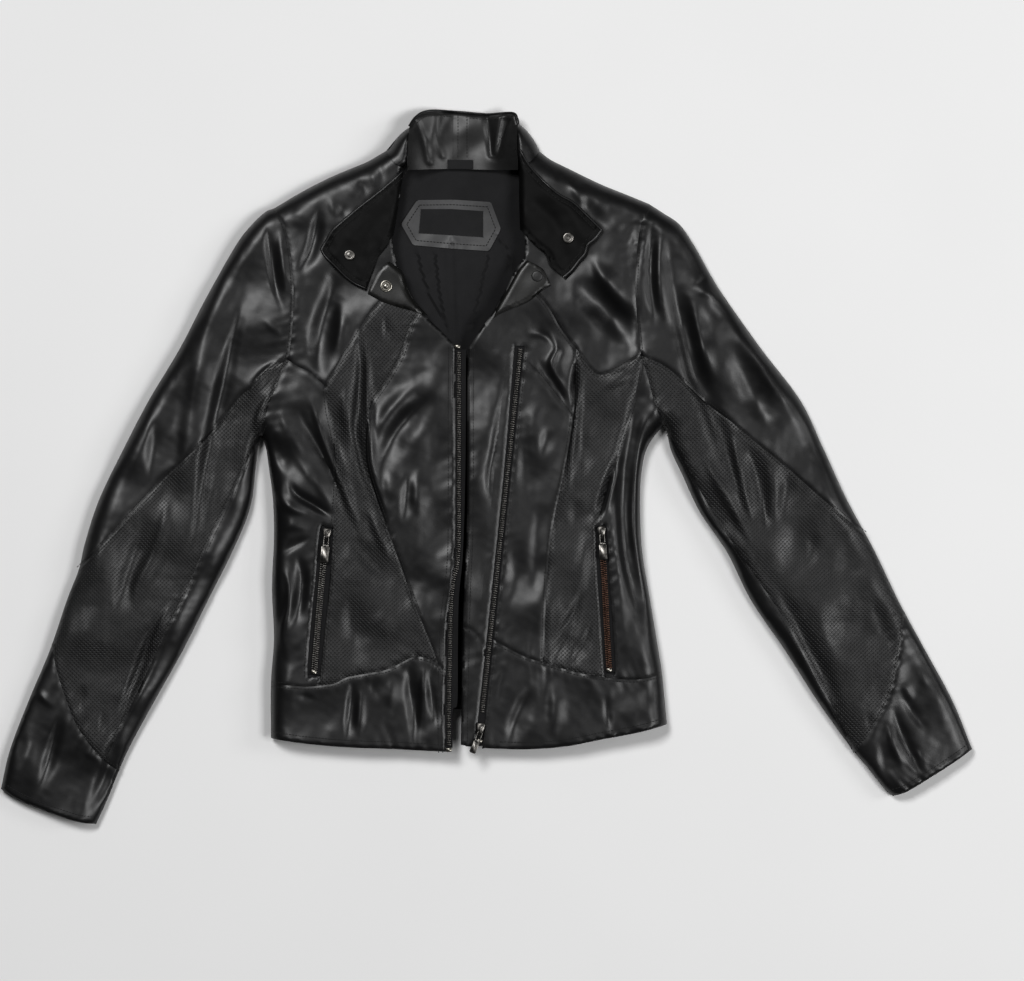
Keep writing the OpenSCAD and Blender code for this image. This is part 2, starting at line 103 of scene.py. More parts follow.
def spline(*points, step=STEP):
    """A smooth curve through plan points, resampled evenly."""
    p = np.array(points, float)
    if len(p) == 2:
        count = max(2, int(np.linalg.norm(p[1] - p[0]) / step) + 1)
        return p[0] + (p[1] - p[0]) * np.linspace(0, 1, count)[:, None]
    ends = np.vstack([2 * p[0] - p[1], p, 2 * p[-1] - p[-2]])
    out = []
    for i in range(1, len(ends) - 2):
        a, b, c, d = ends[i - 1:i + 3]
        t = np.linspace(0, 1, 24, endpoint=False)[:, None]
        out.append(0.5 * (2 * b + (c - a) * t + (2 * a - 5 * b + 4 * c - d) * t ** 2
                          + (3 * b - a - 3 * c + d) * t ** 3))
    fine = np.vstack(out + [p[-1:]])
    run = np.concatenate([[0], np.cumsum(np.linalg.norm(np.diff(fine, axis=0), axis=1))])
    count = max(2, int(run[-1] / step) + 1)
    at = np.linspace(0, run[-1], count)
    return np.stack([np.interp(at, run, fine[:, 0]), np.interp(at, run, fine[:, 1])], 1)


def chain(*curves):
    """Curves joined end to end into one run of points, doubled points left out."""
    pts = np.vstack(curves)
    keep = np.concatenate([[True], np.linalg.norm(np.diff(pts, axis=0), axis=1) > 0.25])
    return pts[keep]


def part(curve, start, end):
    """The stretch of a curve between the points nearest to start and end, in that direction."""
    i = int(np.argmin(np.linalg.norm(curve - start, axis=1)))
    j = int(np.argmin(np.linalg.norm(curve - end, axis=1)))
    piece = curve[i:j + 1] if i <= j else curve[j:i + 1][::-1]
    return np.vstack([[start], piece[1:-1], [end]]) if len(piece) > 2 else np.array([start, end])


def distance(x, y, curve):
    """Distance of points to a curve, the place along it in mm, and the side (+1 left)."""
    a, b = curve[:-1], curve[1:]
    d = b - a
    n2 = np.maximum((d ** 2).sum(1), 1e-9)
    start = np.concatenate([[0], np.cumsum(np.sqrt(n2))])
    best = np.full(x.shape, 1e9)
    along = np.zeros(x.shape)
    side = np.zeros(x.shape)
    for k in range(len(a)):
        px, py = x - a[k, 0], y - a[k, 1]
        t = np.clip((px * d[k, 0] + py * d[k, 1]) / n2[k], 0, 1)
        dist = np.hypot(px - t * d[k, 0], py - t * d[k, 1])
        near = dist < best
        best = np.where(near, dist, best)
        along = np.where(near, start[k] + t * math.sqrt(n2[k]), along)
        side = np.where(near, np.sign(d[k, 0] * py - d[k, 1] * px), side)
    return best, along, side


def inside(x, y, loop):
    """Which points lie inside a closed loop."""
    odd = np.zeros(x.shape, bool)
    x1, y1 = loop[:, 0], loop[:, 1]
    x2, y2 = np.roll(x1, -1), np.roll(y1, -1)
    for k in range(len(loop)):
        if y1[k] == y2[k]:
            continue
        cross = (y1[k] > y) != (y2[k] > y)
        odd ^= cross & (x < (x2[k] - x1[k]) * (y - y1[k]) / (y2[k] - y1[k]) + x1[k])
    return odd


# ---- outline of the jacket ------------------------------------------------

SIDE_L = spline((-216, -270), (-216, -215), (-213, -170), (-215, -120), (-213, -70),
                (-214, -32), (-218, 0), (-221, 20), (-225, 31))
SIDE_R = spline((180, -256), (175, -206), (171, -180), (163, -132), (155, -82), (153, -32),
                (155, 0), (160, 20), (169, 34), (176, 42))
ARM_L = spline((-225, 31), (-219, 58), (-209, 84), (-199, 108), (-195, 130), (-193, 158),
               (-193, 188), (-197, 223), (-203, 245), (-212, 260))
ARM_R = spline((176, 42), (167, 65), (161, 88), (154, 112), (151, 135), (149, 160),
               (148, 188), (151, 228), (156, 250), (162, 264))
SHOULDER_L = spline((-212, 260), (-187, 275), (-160, 289), (-137, 299), (-120, 306), (-101, 317))
SHOULDER_R = spline((53, 316), (64, 308), (80, 300), (113, 284), (140, 273), (162, 264))
OUTER_L = spline((-212, 260), (-223, 255), (-240, 238), (-254, 218), (-282, 168), (-308, 118),
                 (-338, 68), (-364, 18), (-388, -32), (-402, -75), (-408, -101), (-420, -132),
                 (-437, -182), (-458, -232), (-477, -282), (-486, -321))
CUFF_L = spline((-486, -321), (-465, -333), (-437, -344), (-410, -353), (-391, -356))
INNER_L = spline((-391, -356), (-380, -332), (-360, -284), (-332, -232), (-304, -182),
                 (-279, -132), (-254, -82), (-237, -40), (-232, -5), (-229, 20), (-225, 31))
OUTER_R = spline((162, 264), (176, 255), (193, 243), (208, 221), (223, 194), (238, 170),
                 (275, 118), (313, 68), (336, 20), (360, -32), (387, -82), (411, -132),
                 (438, -182), (465, -232), (485, -281))
CUFF_R = spline((485, -281), (465, -295), (443, -309), (420, -323), (406, -328))
INNER_R = spline((406, -328), (397, -320), (378, -296), (363, -278), (330, -232), (298, -182),
                 (264, -132), (240, -84), (213, -44), (195, -6), (184, 18), (180, 36), (176, 42))
NECK_L = spline((-86, 300), (-87, 270), (-94, 236), (-92, 212), (-83, 186), (-66, 157),
                (-46, 137), (-31, 121))
NECK_R = spline((34, 300), (33, 268), (36, 240), (38, 214), (28, 197), (11, 163), (-5, 140),
                (-19, 119))
FRONT_L = spline((-31, 121), (-31.5, 60), (-31.5, -20), (-32, -82), (-35, -120), (-39, -150),
                 (-41, -205), (-42, -240), (-41, -283))
FRONT_R = spline((-19, 119), (-20, 60), (-20, -50), (-23, -132), (-25, -220), (-26, -276))
HEM_L = spline((-41, -283), (-60, -282), (-100, -280), (-140, -278.5), (-180, -275), (-216, -270))
HEM_R = spline((-26, -276), (-10, -278.5), (13, -280), (43, -280.5), (80, -277.5), (113, -271),
               (150, -264), (180, -256))
ROOT_L = spline((-101, 317), (-94, 306), (-86, 300))
ROOT_R = spline((53, 316), (44, 306), (34, 300))

# ---- the zips -------------------------------------------------------------

ZIP_FOOT = np.array((-7.0, -267.0))
ZIP_RUN = np.array((0.1045, 0.9945))


def zip_at(y, offset=0.0):
    """A point of the right-hand main tooth row at height y in plan, offset mm to its right."""
    t = (y - ZIP_FOOT[1]) / ZIP_RUN[1]
    return ZIP_FOOT + ZIP_RUN * t + np.array((ZIP_RUN[1], -ZIP_RUN[0])) * offset


FOLD_TOP = np.array((20.0, 118.0))
FOLD_FOOT = np.array((-20.5, -277.5))
FOLD_LINE = spline(FOLD_TOP, FOLD_FOOT)
ZIP_LEFT_EDGE = spline((27.5, 122), zip_at(-20, -ZIP_SLOT), zip_at(-278.5, -ZIP_SLOT))
ZIP_RIGHT_EDGE = spline(zip_at(122, ZIP_SLOT), zip_at(-20, ZIP_SLOT), zip_at(-279.6, ZIP_SLOT))
POCKET_L = spline((-160, -62), (-164.5, -110), (-168, -150), (-172.5, -206))
POCKET_R = spline((113.5, -60), (117, -110), (119, -150), (122, -204))
ZIP_LINES = [POCKET_L, POCKET_R, spline(zip_at(124), zip_at(-277))]

# ---- seams ----------------------------------------------------------------

CHEST_L = spline((-199, 108), (-188, 101), (-177, 96), (-168, 88), (-161, 81))
INSERT_TOP_L = spline((-161, 81), (-150, 98), (-140, 115), (-131, 128), (-112, 158), (-83, 186))
PRINCESS_L = spline((-66, 157), (-74, 145), (-78, 134), (-86, 110), (-100, 86), (-115, 63),
                    (-120, 40), (-121, 20), (-119, 0), (-112, -25), (-103, -50), (-94, -75),
                    (-84, -103), (-75, -128), (-65, -153), (-54, -180), (-48, -196))
INSERT_SIDE_L = spline((-161, 81), (-158, 55), (-152, 25), (-150, -15), (-153, -60))
SLOT_L_RIGHT = spline((-153, -60), (-156, -110), (-160, -150), (-166, -206), (-167, -217))
SLOT_L_LEFT = spline((-153, -60), (-160, -59), (-166.5, -61), (-171, -110), (-175, -150),
                     (-179, -205), (-173, -208.5), (-166, -208), (-167, -217))
HEM_SEAM_L = spline((-216, -216), (-195, -217), (-180, -218), (-167, -217), (-152, -215),
                    (-140, -209), (-120, -205), (-100, -201), (-85, -194), (-72, -188),
                    (-60, -190), (-48, -196), (-41, -207))
INSERT_TOP_R = spline((28, 197), (58, 165), (73, 140), (89, 119), (102, 101), (112, 93),
                      (128, 97), (142, 105), (154, 112))
INSERT_FRONT_R = spline((89, 119), (88, 93), (87, 60), (83, 30), (76, -8), (69, -40), (63, -75),
                        (60, -110), (58, -150), (57, -194))
INSERT_SIDE_R = spline((154, 112), (151, 88), (144, 58), (134, 30), (124, -5), (114, -40),
                       (108, -60))
SLOT_R_LEFT = spline((108, -60), (110, -110), (113, -150), (116.5, -203), (118, -209))
SLOT_R_RIGHT = spline((108, -60), (113, -58.5), (119, -60), (122, -110), (125, -150),
                      (128, -202), (124, -206), (119, -206), (118, -209))
HEM_SEAM_R = spline(zip_at(-171, ZIP_SLOT), (20, -179), (40, -189), (57, -194), (75, -200),
                    (95, -205), (118, -209), (150, -211), (175, -206))
HEM_SEAM_FLAP = spline((-24, -158), (-14, -163), (-4, -176), (-1, -184))
YOKE_R = spline((40, 104), (52, 92), (68, 72), (85, 50))
DIAG_L = spline((-199, 108), (-215, 98), (-232, 83), (-247, 70), (-265, 48), (-282, 27),
                (-300, 10), (-322, -10), (-345, -35), (-377, -70), (-408, -101))
INNER_SEAM_L = spline((-222, 44), (-236, 14), (-247, -10), (-258, -34), (-272, -62), (-285, -90),
                      (-300, -125), (-318, -160), (-335, -195), (-350, -226), (-365, -258),
                      (-382, -293))
CUFF_SEAM_L = spline((-435, -176), (-430, -200), (-422, -226), (-411, -254), (-398, -274),
                     (-382, -293), (-368, -303))
DIAG_R = spline((154, 112), (175, 103), (193, 89), (210, 73), (225, 60), (245, 45), (265, 28),
                (285, 12), (300, 0), (320, -18), (343, -38), (360, -52), (378, -66))
INNER_SEAM_R = spline((171, 55), (190, 20), (208, -14), (229, -50), (254, -88), (281, -127),
                      (304, -162), (325, -200), (345, -238), (369, -284))
CUFF_SEAM_R = spline((417, -145), (414, -170), (410, -195), (404, -222), (394, -245),
                     (383, -263), (369, -284))

SILHOUETTE = [SIDE_L, SIDE_R, SHOULDER_L, SHOULDER_R, OUTER_L, INNER_L, OUTER_R, INNER_R]
FREE_EDGES = [FRONT_L, FRONT_R, HEM_L, HEM_R, CUFF_L, CUFF_R, NECK_L, NECK_R]
SLOTS = [SLOT_L_RIGHT, SLOT_L_LEFT, SLOT_R_LEFT, SLOT_R_RIGHT, ZIP_LEFT_EDGE, ZIP_RIGHT_EDGE]
SEAMS = [ARM_L, ARM_R, CHEST_L, INSERT_TOP_L, PRINCESS_L, HEM_SEAM_L, INSERT_TOP_R,
         INSERT_FRONT_R, INSERT_SIDE_R, HEM_SEAM_R, HEM_SEAM_FLAP, YOKE_R, DIAG_L, INNER_SEAM_L,
         CUFF_SEAM_L, DIAG_R, INNER_SEAM_R, CUFF_SEAM_R]

# ---- folds: height, half width, points ------------------------------------
# A positive height is a ridge, a negative one a hollow.

FOLDS = [
    # front on the -X side, from the collar end to the pocket
    (-6, 9, (-152, 205), (-156, 170), (-166, 135), (-168, 108), (-163, 84)),
    (-5.5, 4, (-130, 158), (-127, 120), (-126, 95), (-129, 60), (-131, 38), (-127, 15), (-122, -5),
     (-112, -30), (-100, -58), (-92, -78)),
    (-4, 8, (-162, 84), (-156, 60), (-152, 45), (-147, 18), (-142, -4), (-140, -20)),
    (-3, 3, (-102, 156), (-99, 122)),
    (-6, 9, (-48, 76), (-72, 56), (-90, 35), (-102, 10), (-104, -12)),
    (-3.5, 5, (-77, -3), (-80, -30), (-83, -58)),
    (-2, 6, (-50, 100), (-80, 88)),
    (-6, 7, (-215, 35), (-205, 12), (-198, -8)),
    (-5, 3.2, (-199, -10), (-189, -27), (-173, -37), (-160, -46), (-150, -56)),
    (-3.6, 3.6, (-190, 62), (-179, 40), (-168, 20), (-157, 0), (-147, -25), (-139, -56)),
    (-2.5, 4, (-205, 50), (-191, 20), (-176, -5), (-164, -28)),
    (-5, 5.5, (-189, -84), (-184, -110), (-187, -138), (-193, -160)),
    (-3, 3, (-208, -89), (-195, -79), (-174, -68)),
    (3.4, 5, (-209, 66), (-201, 42), (-190, 20), (-178, -2), (-165, -22), (-152, -47)),
    (4.4, 4.2, (-180, 82), (-173, 60), (-164, 32), (-155, 5), (-144, -20), (-132, -50), (-122, -80)),
    (4, 6, (-146, 168), (-147, 135), (-154, 106)),
    (3, 5, (-138, 90), (-142, 60), (-138, 30)),
    (3.4, 3, (-120, 140), (-120, 100), (-119, 60), (-117, 30), (-115, 2), (-106, -28), (-98, -42),
     (-92, -34)),
    (3.5, 8, (-62, 88), (-82, 72), (-100, 52), (-113, 30)),
    (3, 4, (-120, -38), (-107, -68), (-96, -96)),
    (2.5, 7, (-68, 4), (-70, -30), (-66, -52)),
    (2.5, 6, (-97, 2), (-97, -36)),
    (3.6, 4, (-207, -96), (-197, -114), (-198, -140), (-205, -165), (-200, -192)),
    (3.6, 4, (-203, -9), (-207, -30), (-192, -42), (-176, -46)),
    (2.5, 4, (-207, -60), (-190, -58), (-176, -62)),
    (-3, 9, (-137, -122), (-134, -158), (-129, -186)),
    (-3.5, 8, (-136, -66), (-118, -92), (-96, -112)),
    (3, 12, (-108, -140), (-98, -172)),
    # hem of that front
    (-3.5, 4, (-133, -208), (-136, -240), (-140, -276)),
    (-4.5, 6, (-78, -190), (-76, -220), (-72, -250), (-73, -282)),
    (-2.5, 3, (-60, -200), (-55, -230), (-50, -264)),
    (-2.5, 4, (-116, -206), (-108, -236)),
    (2.4, 4, (-124, -214), (-127, -245), (-128, -276)),
    (2.8, 5, (-95, -206), (-97, -242)),
    (2.8, 4, (-63, -192), (-64, -230), (-68, -272)),
    (-2.5, 3, (-168, -232), (-180, -228), (-192, -226)),
    # front on the +X side
    (-8, 13, (86, 192), (100, 174), (120, 155), (138, 133), (148, 118)),
    (-3.5, 3, (34, 132), (54, 133), (67, 122)),
    (-5.5, 3, (89, 112), (87, 82), (86, 56)),
    (-3.5, 4.5, (46, 114), (60, 92), (74, 72), (83, 56)),
    (-9, 8, (151, 96), (148, 60), (143, 30), (138, 0), (136, -40), (138, -80), (146, -120),
     (153, -150), (156, -190)),
    (-4.5, 3.6, (129, 16), (122, -10), (113, -40), (107, -62)),
    (-2.5, 6, (94, 42), (96, 10), (94, -14)),
    (-2.5, 5, (88, -28), (87, -62)),
    (-3.6, 5, (97, -118), (85, -150), (71, -180), (63, -204)),
    (-3.6, 4, (109, -150), (96, -175), (82, -200)),
    (-3.4, 3.4, (21, 116), (14.5, 60), (8, 20), (3, -5), (3, -25), (11, -54)),
    (-3, 9, (53, -34), (50, -80), (48, -134)),
    (-3, 5, (62, 42), (54, 8)),
    (-4, 7, (46, -214), (30, -250), (22, -280)),
    (-2.6, 4, (18, -196), (9, -240)),
    (-2.6, 3, (118, -226), (122, -266)),
    (5.5, 7, (104, 214), (118, 186), (134, 165), (150, 148)),
    (3, 3, (60, 140), (70, 120), (64, 104), (75, 80), (83, 60)),
    (3.6, 3, (94, 102), (92, 80), (89, 55), (86, 30), (83, 0), (78, -30)),
    (3, 5, (112, 78), (134, 88), (150, 100)),
    (3.6, 4, (160, 66), (152, 22), (148, -20), (147, -60), (155, -112), (164, -160)),
    (3, 2.6, (131, 2), (121, -30), (114, -56)),
    (3, 5, (126, -68), (128, -110), (131, -150), (139, -188)),
    (2.4, 7, (100, -58), (96, -95), (88, -132)),
    (3, 3, (89, -144), (75, -170), (62, -192)),
    (3, 3, (101, -158), (89, -186)),
    (2, 13, (-4, 100), (-7, 50), (-8, 0), (-9, -60)),
    (3, 7, (66, -206), (68, -245), (66, -272)),
    (3, 14, (142, -222), (146, -256)),
    (2.4, 9, (42, 70), (46, 20), (42, -20)),
    # shoulders
    (-4, 5, (-166, 264), (-170, 240), (-176, 215), (-190, 190)),
    (-3.4, 4, (-146, 264), (-140, 246)),
    (-3.4, 4, (-126, 292), (-120, 268)),
    (-2.4, 2.6, (-108, 306), (-103, 284)),
    (3.4, 9, (-184, 264), (-188, 232)),
    (3.4, 4, (-158, 272), (-150, 248)),
    (3, 5, (-136, 284), (-130, 266)),
    (2.6, 3, (-116, 298), (-110, 276)),
    (-3.4, 4, (-219, 250), (-216, 215), (-210, 178), (-202, 152)),
    (2.8, 4, (-207, 242), (-204, 205), (-199, 170)),
    (-2.4, 2.6, (70, 302), (72, 284)),
    (-3, 5, (94, 274), (106, 250), (126, 236)),
    (-2.4, 4, (151, 250), (147, 215), (145, 185)),
    (-3.4, 4, (166, 252), (163, 215), (163, 180), (168, 138)),
    (4.4, 5, (81, 288), (92, 270), (99, 258)),
    (3, 6, (108, 268), (119, 252)),
    (3, 7, (125, 254), (133, 232)),
    (3, 5, (176, 248), (172, 215), (172, 180), (179, 138)),
    # sleeve on the +X side
    (-7, 8, (181, 234), (184, 200), (190, 165), (198, 130), (207, 95), (216, 74), (225, 52),
     (233, 28), (241, 4), (252, -25), (258, -52)),
    (4.4, 6, (202, 176), (208, 150), (216, 115), (226, 80)),
    (-3, 2.6, (202, 180), (212, 183), (218, 190), (218, 201)),
    (3, 3.4, (207, 174), (221, 174), (232, 162)),
    (3.4, 8, (232, 164), (256, 130), (280, 95), (302, 56)),
    (-4, 11, (238, 130), (254, 100), (270, 68), (287, 28)),
    (-4.5, 6, (258, 27), (268, 0), (275, -30), (279, -68)),
    (-2.6, 6, (301, -2), (297, -30), (292, -58)),
    (-5.5, 9, (203, 2), (220, -30), (240, -60), (260, -88)),
    (4.4, 4, (241, 42), (250, 5), (258, -30), (267, -62)),
    (3.4, 7, (282, 12), (285, -30), (284, -62)),
    (3.6, 4, (211, 22), (230, -15), (250, -50), (267, -82)),
    (-2.6, 5, (318, -62), (326, -80), (318, -100)),
    (-5, 6, (286, -112), (301, -140), (318, -174), (335, -206), (350, -240), (366, -268)),
    (2.8, 10, (322, -118), (337, -160), (352, -200)),
    (2.2, 9, (346, -66), (347, -112)),
    (-2.4, 6, (384, -128), (395, -160), (403, -192)),
    (-3.6, 4, (404, -234), (412, -260), (425, -290), (436, -314)),
    (-3, 4, (412, -224), (426, -246), (442, -268)),
    (-4.6, 8, (394, -270), (399, -300), (406, -322)),
    (-2.6, 3, (379, -240), (383, -264)),
    (3.4, 4, (399, -246), (405, -275), (417, -304)),
    (3.6, 4, (414, -212), (426, -236)),
    (2.6, 4, (430, -196), (440, -222)),
    (2.6, 4, (428, -280), (440, -304)),
    # sleeve on the -X side
    (-6, 6, (-242, 184), (-247, 150), (-255, 120), (-262, 90), (-270, 55), (-277, 20), (-284, -20),
     (-290, -60), (-298, -98)),
    (-5, 14, (-240, 150), (-250, 100), (-257, 50), (-262, 0), (-270, -50), (-286, -104)),
    (4.4, 11, (-262, 200), (-276, 150), (-284, 110), (-291, 70), (-298, 20), (-304, -20),
     (-305, -62)),
    (-2.6, 6, (-330, 56), (-333, 20), (-336, -14)),
    (-4.2, 8, (-338, -44), (-350, -85), (-362, -120), (-371, -154)),
    (3.4, 6, (-316, -16), (-324, -60), (-335, -90), (-350, -120), (-347, -152)),
    (-5, 4.6, (-324, -142), (-335, -168), (-345, -195), (-356, -222), (-371, -258)),
    (2.8, 14, (-374, -56), (-385, -100), (-396, -150), (-406, -204)),
    (-2.6, 3.6, (-402, -212), (-409, -248)),
    (-2.6, 3, (-383, -238), (-386, -272)),
    (-4.6, 7, (-369, -256), (-375, -290), (-386, -320), (-402, -348)),
    (-3.6, 5, (-425, -238), (-430, -265), (-440, -300), (-449, -328)),
    (3.2, 3.2, (-457, -218), (-442, -231), (-430, -240)),
    (2.6, 3, (-404, -283), (-384, -293)),
    (-2.4, 4, (-462, -262), (-470, -290)),
    (2.6, 6, (-452, -268), (-462, -304)),
    (3.4, 3, (-201, 112), (-219, 98), (-232, 84), (-237, 68)),
    (3.4, 3.2, (-209, 80), (-220, 67), (-228, 50), (-232, 26)),
    (-2.6, 2.6, (-213, 91), (-229, 74)),
    (3, 4, (-224, 150), (-212, 138), (-203, 132)),
    (2.4, 3, (-312, -130), (-326, -156), (-344, -196)),
]

# Where the leather is gathered: curve, height, wave length, reach.
PUCKERS = [
    (ARM_L, 0.22, 11, 12), (ARM_R, 0.22, 11, 12), (HEM_SEAM_L, 0.28, 10, 10),
    (HEM_SEAM_R, 0.28, 10, 10), (PRINCESS_L, 0.15, 9, 7), (FRONT_L, 0.25, 15, 11),
    (FRONT_R, 0.2, 15, 9), (ZIP_RIGHT_EDGE, 0.22, 13, 10), (CUFF_L, 0.35, 11, 15),
    (CUFF_R, 0.4, 10, 16), (HEM_L, 0.35, 14, 14), (HEM_R, 0.35, 14, 14),
    (CUFF_SEAM_L, 0.2, 10, 9), (CUFF_SEAM_R, 0.3, 10, 9), (INNER_SEAM_L, 0.16, 10, 8),
    (SLOT_L_LEFT, 0.25, 12, 8), (SLOT_R_RIGHT, 0.25, 12, 8)]

FOLD_CURVES = [(h, w, spline(*pts, step=6.0)) for h, w, *pts in FOLDS]


def waves(x, y, length, seed):
    """Even, smooth unevenness of about one wave length, from -1 to 1."""
    rng = np.random.default_rng(seed)
    total = np.zeros(x.shape)
    for _ in range(WAVE_COUNT):
        angle, phase = rng.uniform(0, 2 * math.pi, 2)
        k = 2 * math.pi / (length * rng.uniform(0.75, 1.35))
        total += np.sin(k * (x * math.cos(angle) + y * math.sin(angle)) + phase)
    return total / math.sqrt(WAVE_COUNT) / 1.4


def rim(d, radius):
    """0 at an edge, rising as a quarter circle to 1 at the radius."""
    u = np.clip(d / radius, 0, 1)
    return np.sqrt(np.maximum(0, 1 - (1 - u) ** 2))


def near(x, y, curve, reach):
    """Whether a box of points comes within reach of a curve at all."""
    lo, hi = curve.min(0) - reach, curve.max(0) + reach
    return (x > lo[0]) & (x < hi[0]) & (y > lo[1]) & (y < hi[1])


def added(x, y, curve, reach, value):
    """value(distance, place, side) where points are within reach of a curve, 0 elsewhere."""
    out = np.zeros(x.shape)
    m = near(x, y, curve, reach)
    if m.any():
        out[m] = value(*distance(x[m], y[m], curve))
    return out


def bell(height, width):
    """A soft ridge of a height along a curve, or a hollow if the height is negative."""
    return lambda d, s, side: height * np.exp(-(d / width) ** 2)


def fold_height(x, y):
    """All folds together."""
    total = np.zeros(x.shape)
    for h, w, curve in FOLD_CURVES:
        run = np.linalg.norm(np.diff(curve, axis=0), axis=1).sum()

        def bump(d, s, side, h=h, w=w, run=run):
            lean = np.where(side > 0, 1.25, 0.8)
            ends = np.clip(np.minimum(s, run - s) / (0.42 * run + 1), 0, 1)
            ends = ends * ends * (3 - 2 * ends)
            width = w * lean * (0.75 + 0.4 * ends)
            return h * min(1, run / 75) * np.exp(-(d / width) ** 2) * ends

        total += added(x, y, curve, 3 * w, bump)
    return total


def gathers(x, y):
    """Small waves across the seams and edges where the leather is drawn in."""
    total = np.zeros(x.shape)
    for i, (curve, h, length, reach) in enumerate(PUCKERS):

        def ripple(d, s, side, h=h, length=length, reach=reach, i=i):
            phase = s + 5 * np.sin(s / 17 + i) + d * 0.5 * side
            uneven = 0.55 + 0.45 * np.sin(s / 41 + 2 * i)
            turn = 2 * math.pi * phase / length
            return h * uneven * (np.sin(turn) + np.sin(0.57 * turn + i)) * np.exp(-d / reach)

        total += added(x, y, curve, 3 * reach, ripple)
    return total


def seam_relief(x, y):
    """Grooves at the seams, with the leather a little puffed beside them."""
    total = np.zeros(x.shape)
    for curve in SEAMS:
        total += added(x, y, curve, 12, lambda d, s, side: -0.5 * np.exp(-(d / 0.9) ** 2)
                       + 0.2 * np.exp(-((d - 5) / 3.5) ** 2))
    return total


def edge_distance(x, y, curves, reach):
    """Distance to the nearest of several curves, at most reach."""
    best = np.full(x.shape, float(reach))
    for curve in curves:
        m = near(x, y, curve, reach)
        if m.any():
            best[m] = np.minimum(best[m], distance(x[m], y[m], curve)[0])
    return best


def lay_height(x, y):
    """The smooth height the top leather lies at before folds."""
    arm = np.clip((np.abs(x + 17) - 190) / 90, 0, 1)
    down = np.clip((80 - y) / 420, 0, 1)
    return LAY_TORSO * (1 - arm) + arm * (LAY_ARM * (1 - down) + LAY_CUFF * down)


def looseness(x, y):
    """How freely the leather folds: 1 in the open, near 0 where a zip holds it flat."""
    d = edge_distance(x, y, ZIP_LINES, 30)
    return 1 - 0.98 * np.exp(-(np.maximum(d - 6, 0) / 10) ** 2)


def soft_waves(x, y):
    """The leather's own gentle unevenness between the folds."""
    return SWELL * waves(x, y, 75, 3) + 0.55 * waves(x, y, 38, 4) + 0.13 * waves(x, y, 21, 5)


def top_height(x, y):
    """Height of the upper leather of the body and the sleeves."""
    z = lay_height(x, y) + (fold_height(x, y) + soft_waves(x, y)) * looseness(x, y)
    z += seam_relief(x, y) + gathers(x, y) + 0.06 * waves(x, y, 10, 7)
    d = edge_distance(x, y, SILHOUETTE, EDGE_ROUND)
    z = EDGE_MID + (z - EDGE_MID) * rim(d, EDGE_ROUND)
    f = edge_distance(x, y, FREE_EDGES, 3)
    z -= 1.3 * (1 - rim(f, 1.8))
    s = edge_distance(x, y, SLOTS, 3)
    z -= 0.8 * (1 - rim(s, 1.4))
    return z


def under_height(x, y):
    """Height of the leather that lies on the floor."""
    d = edge_distance(x, y, SILHOUETTE, EDGE_ROUND)
    z = LEATHER + 0.1 + (EDGE_MID - LEATHER) * (1 - rim(d, EDGE_ROUND))
    return z + np.where(d > 4, 0.25, 0) * (1 + waves(x, y, 30, 11))


# ---- mesh building --------------------------------------------------------

def height_at(height, x, y):
    """One value of a height function."""
    return float(height(np.array([x]), np.array([y]))[0])


def raised(height, lift):
    """The height function moved up by lift mm, or down by a negative lift."""
    return lambda x, y: height(x, y) + lift


def new_object(name, verts, faces):
    """A mesh object from millimetre points."""
    mesh = bpy.data.meshes.new(name)
    mesh.from_pydata((np.asarray(verts) * MM).tolist(), [], [list(f) for f in faces])
    mesh.validate()
    mesh.polygons.foreach_set("use_smooth", [True] * len(mesh.polygons))
    mesh.set_sharp_from_angle(angle=math.radians(55))
    mesh.update()
    obj = bpy.data.objects.new(name, mesh)
    bpy.context.scene.collection.objects.link(obj)
    return obj


def grid_points(loop, grid):
    """Even points inside a loop, kept off its edge."""
    lo, hi = loop.min(0), loop.max(0)
    rows = np.arange(lo[1], hi[1], grid * 0.866)
    pts = []
    for k, y in enumerate(rows):
        xs = np.arange(lo[0] + (k % 2) * grid / 2, hi[0], grid)
        pts.append(np.stack([xs, np.full(len(xs), y)], 1))
    pts = np.vstack(pts)
    pts = pts[inside(pts[:, 0], pts[:, 1], loop)]
    closed = np.vstack([loop, loop[:1]])
    return pts[distance(pts[:, 0], pts[:, 1], closed)[0] > grid * 0.55]


def triangles(loop, grid):
    """Plan points and triangles filling a loop, its own points first."""
    pts = np.vstack([loop, grid_points(loop, grid)])
    made = delaunay_2d_cdt([tuple(p) for p in pts], [], [list(range(len(loop)))], 1, 1e-5)
    return np.array([tuple(v) for v in made[0]]), [list(f) for f in made[2]]


def rim_edges(faces):
    """The directed edges that only one face uses."""
    seen = set()
    for f in faces:
        for i in range(len(f)):
            seen.add((f[i], f[(i + 1) % len(f)]))
    return [e for e in seen if (e[1], e[0]) not in seen]


def skin(name, loop, height, thick=LEATHER, grid=GRID, turn=None, slot=None, replaces=(),
         material=None):
    """A closed sheet over a plan loop, its top face at height(x, y)."""
    pts, faces = triangles(loop, grid)
    if np.cross(pts[faces[0][1]] - pts[faces[0][0]], pts[faces[0][2]] - pts[faces[0][0]]) < 0:
        faces = [f[::-1] for f in faces]
    z = height(pts[:, 0], pts[:, 1])
    n = len(pts)
    verts = np.vstack([np.column_stack([pts, z]), np.column_stack([pts, z - thick])])
    below = [[i + n for i in f[::-1]] for f in faces]
    side = [[a, a + n, b + n, b] for a, b in rim_edges(faces)]
    obj = new_object(name, verts, faces + below + side)
    return place(obj, "torso", turn, replaces, material)


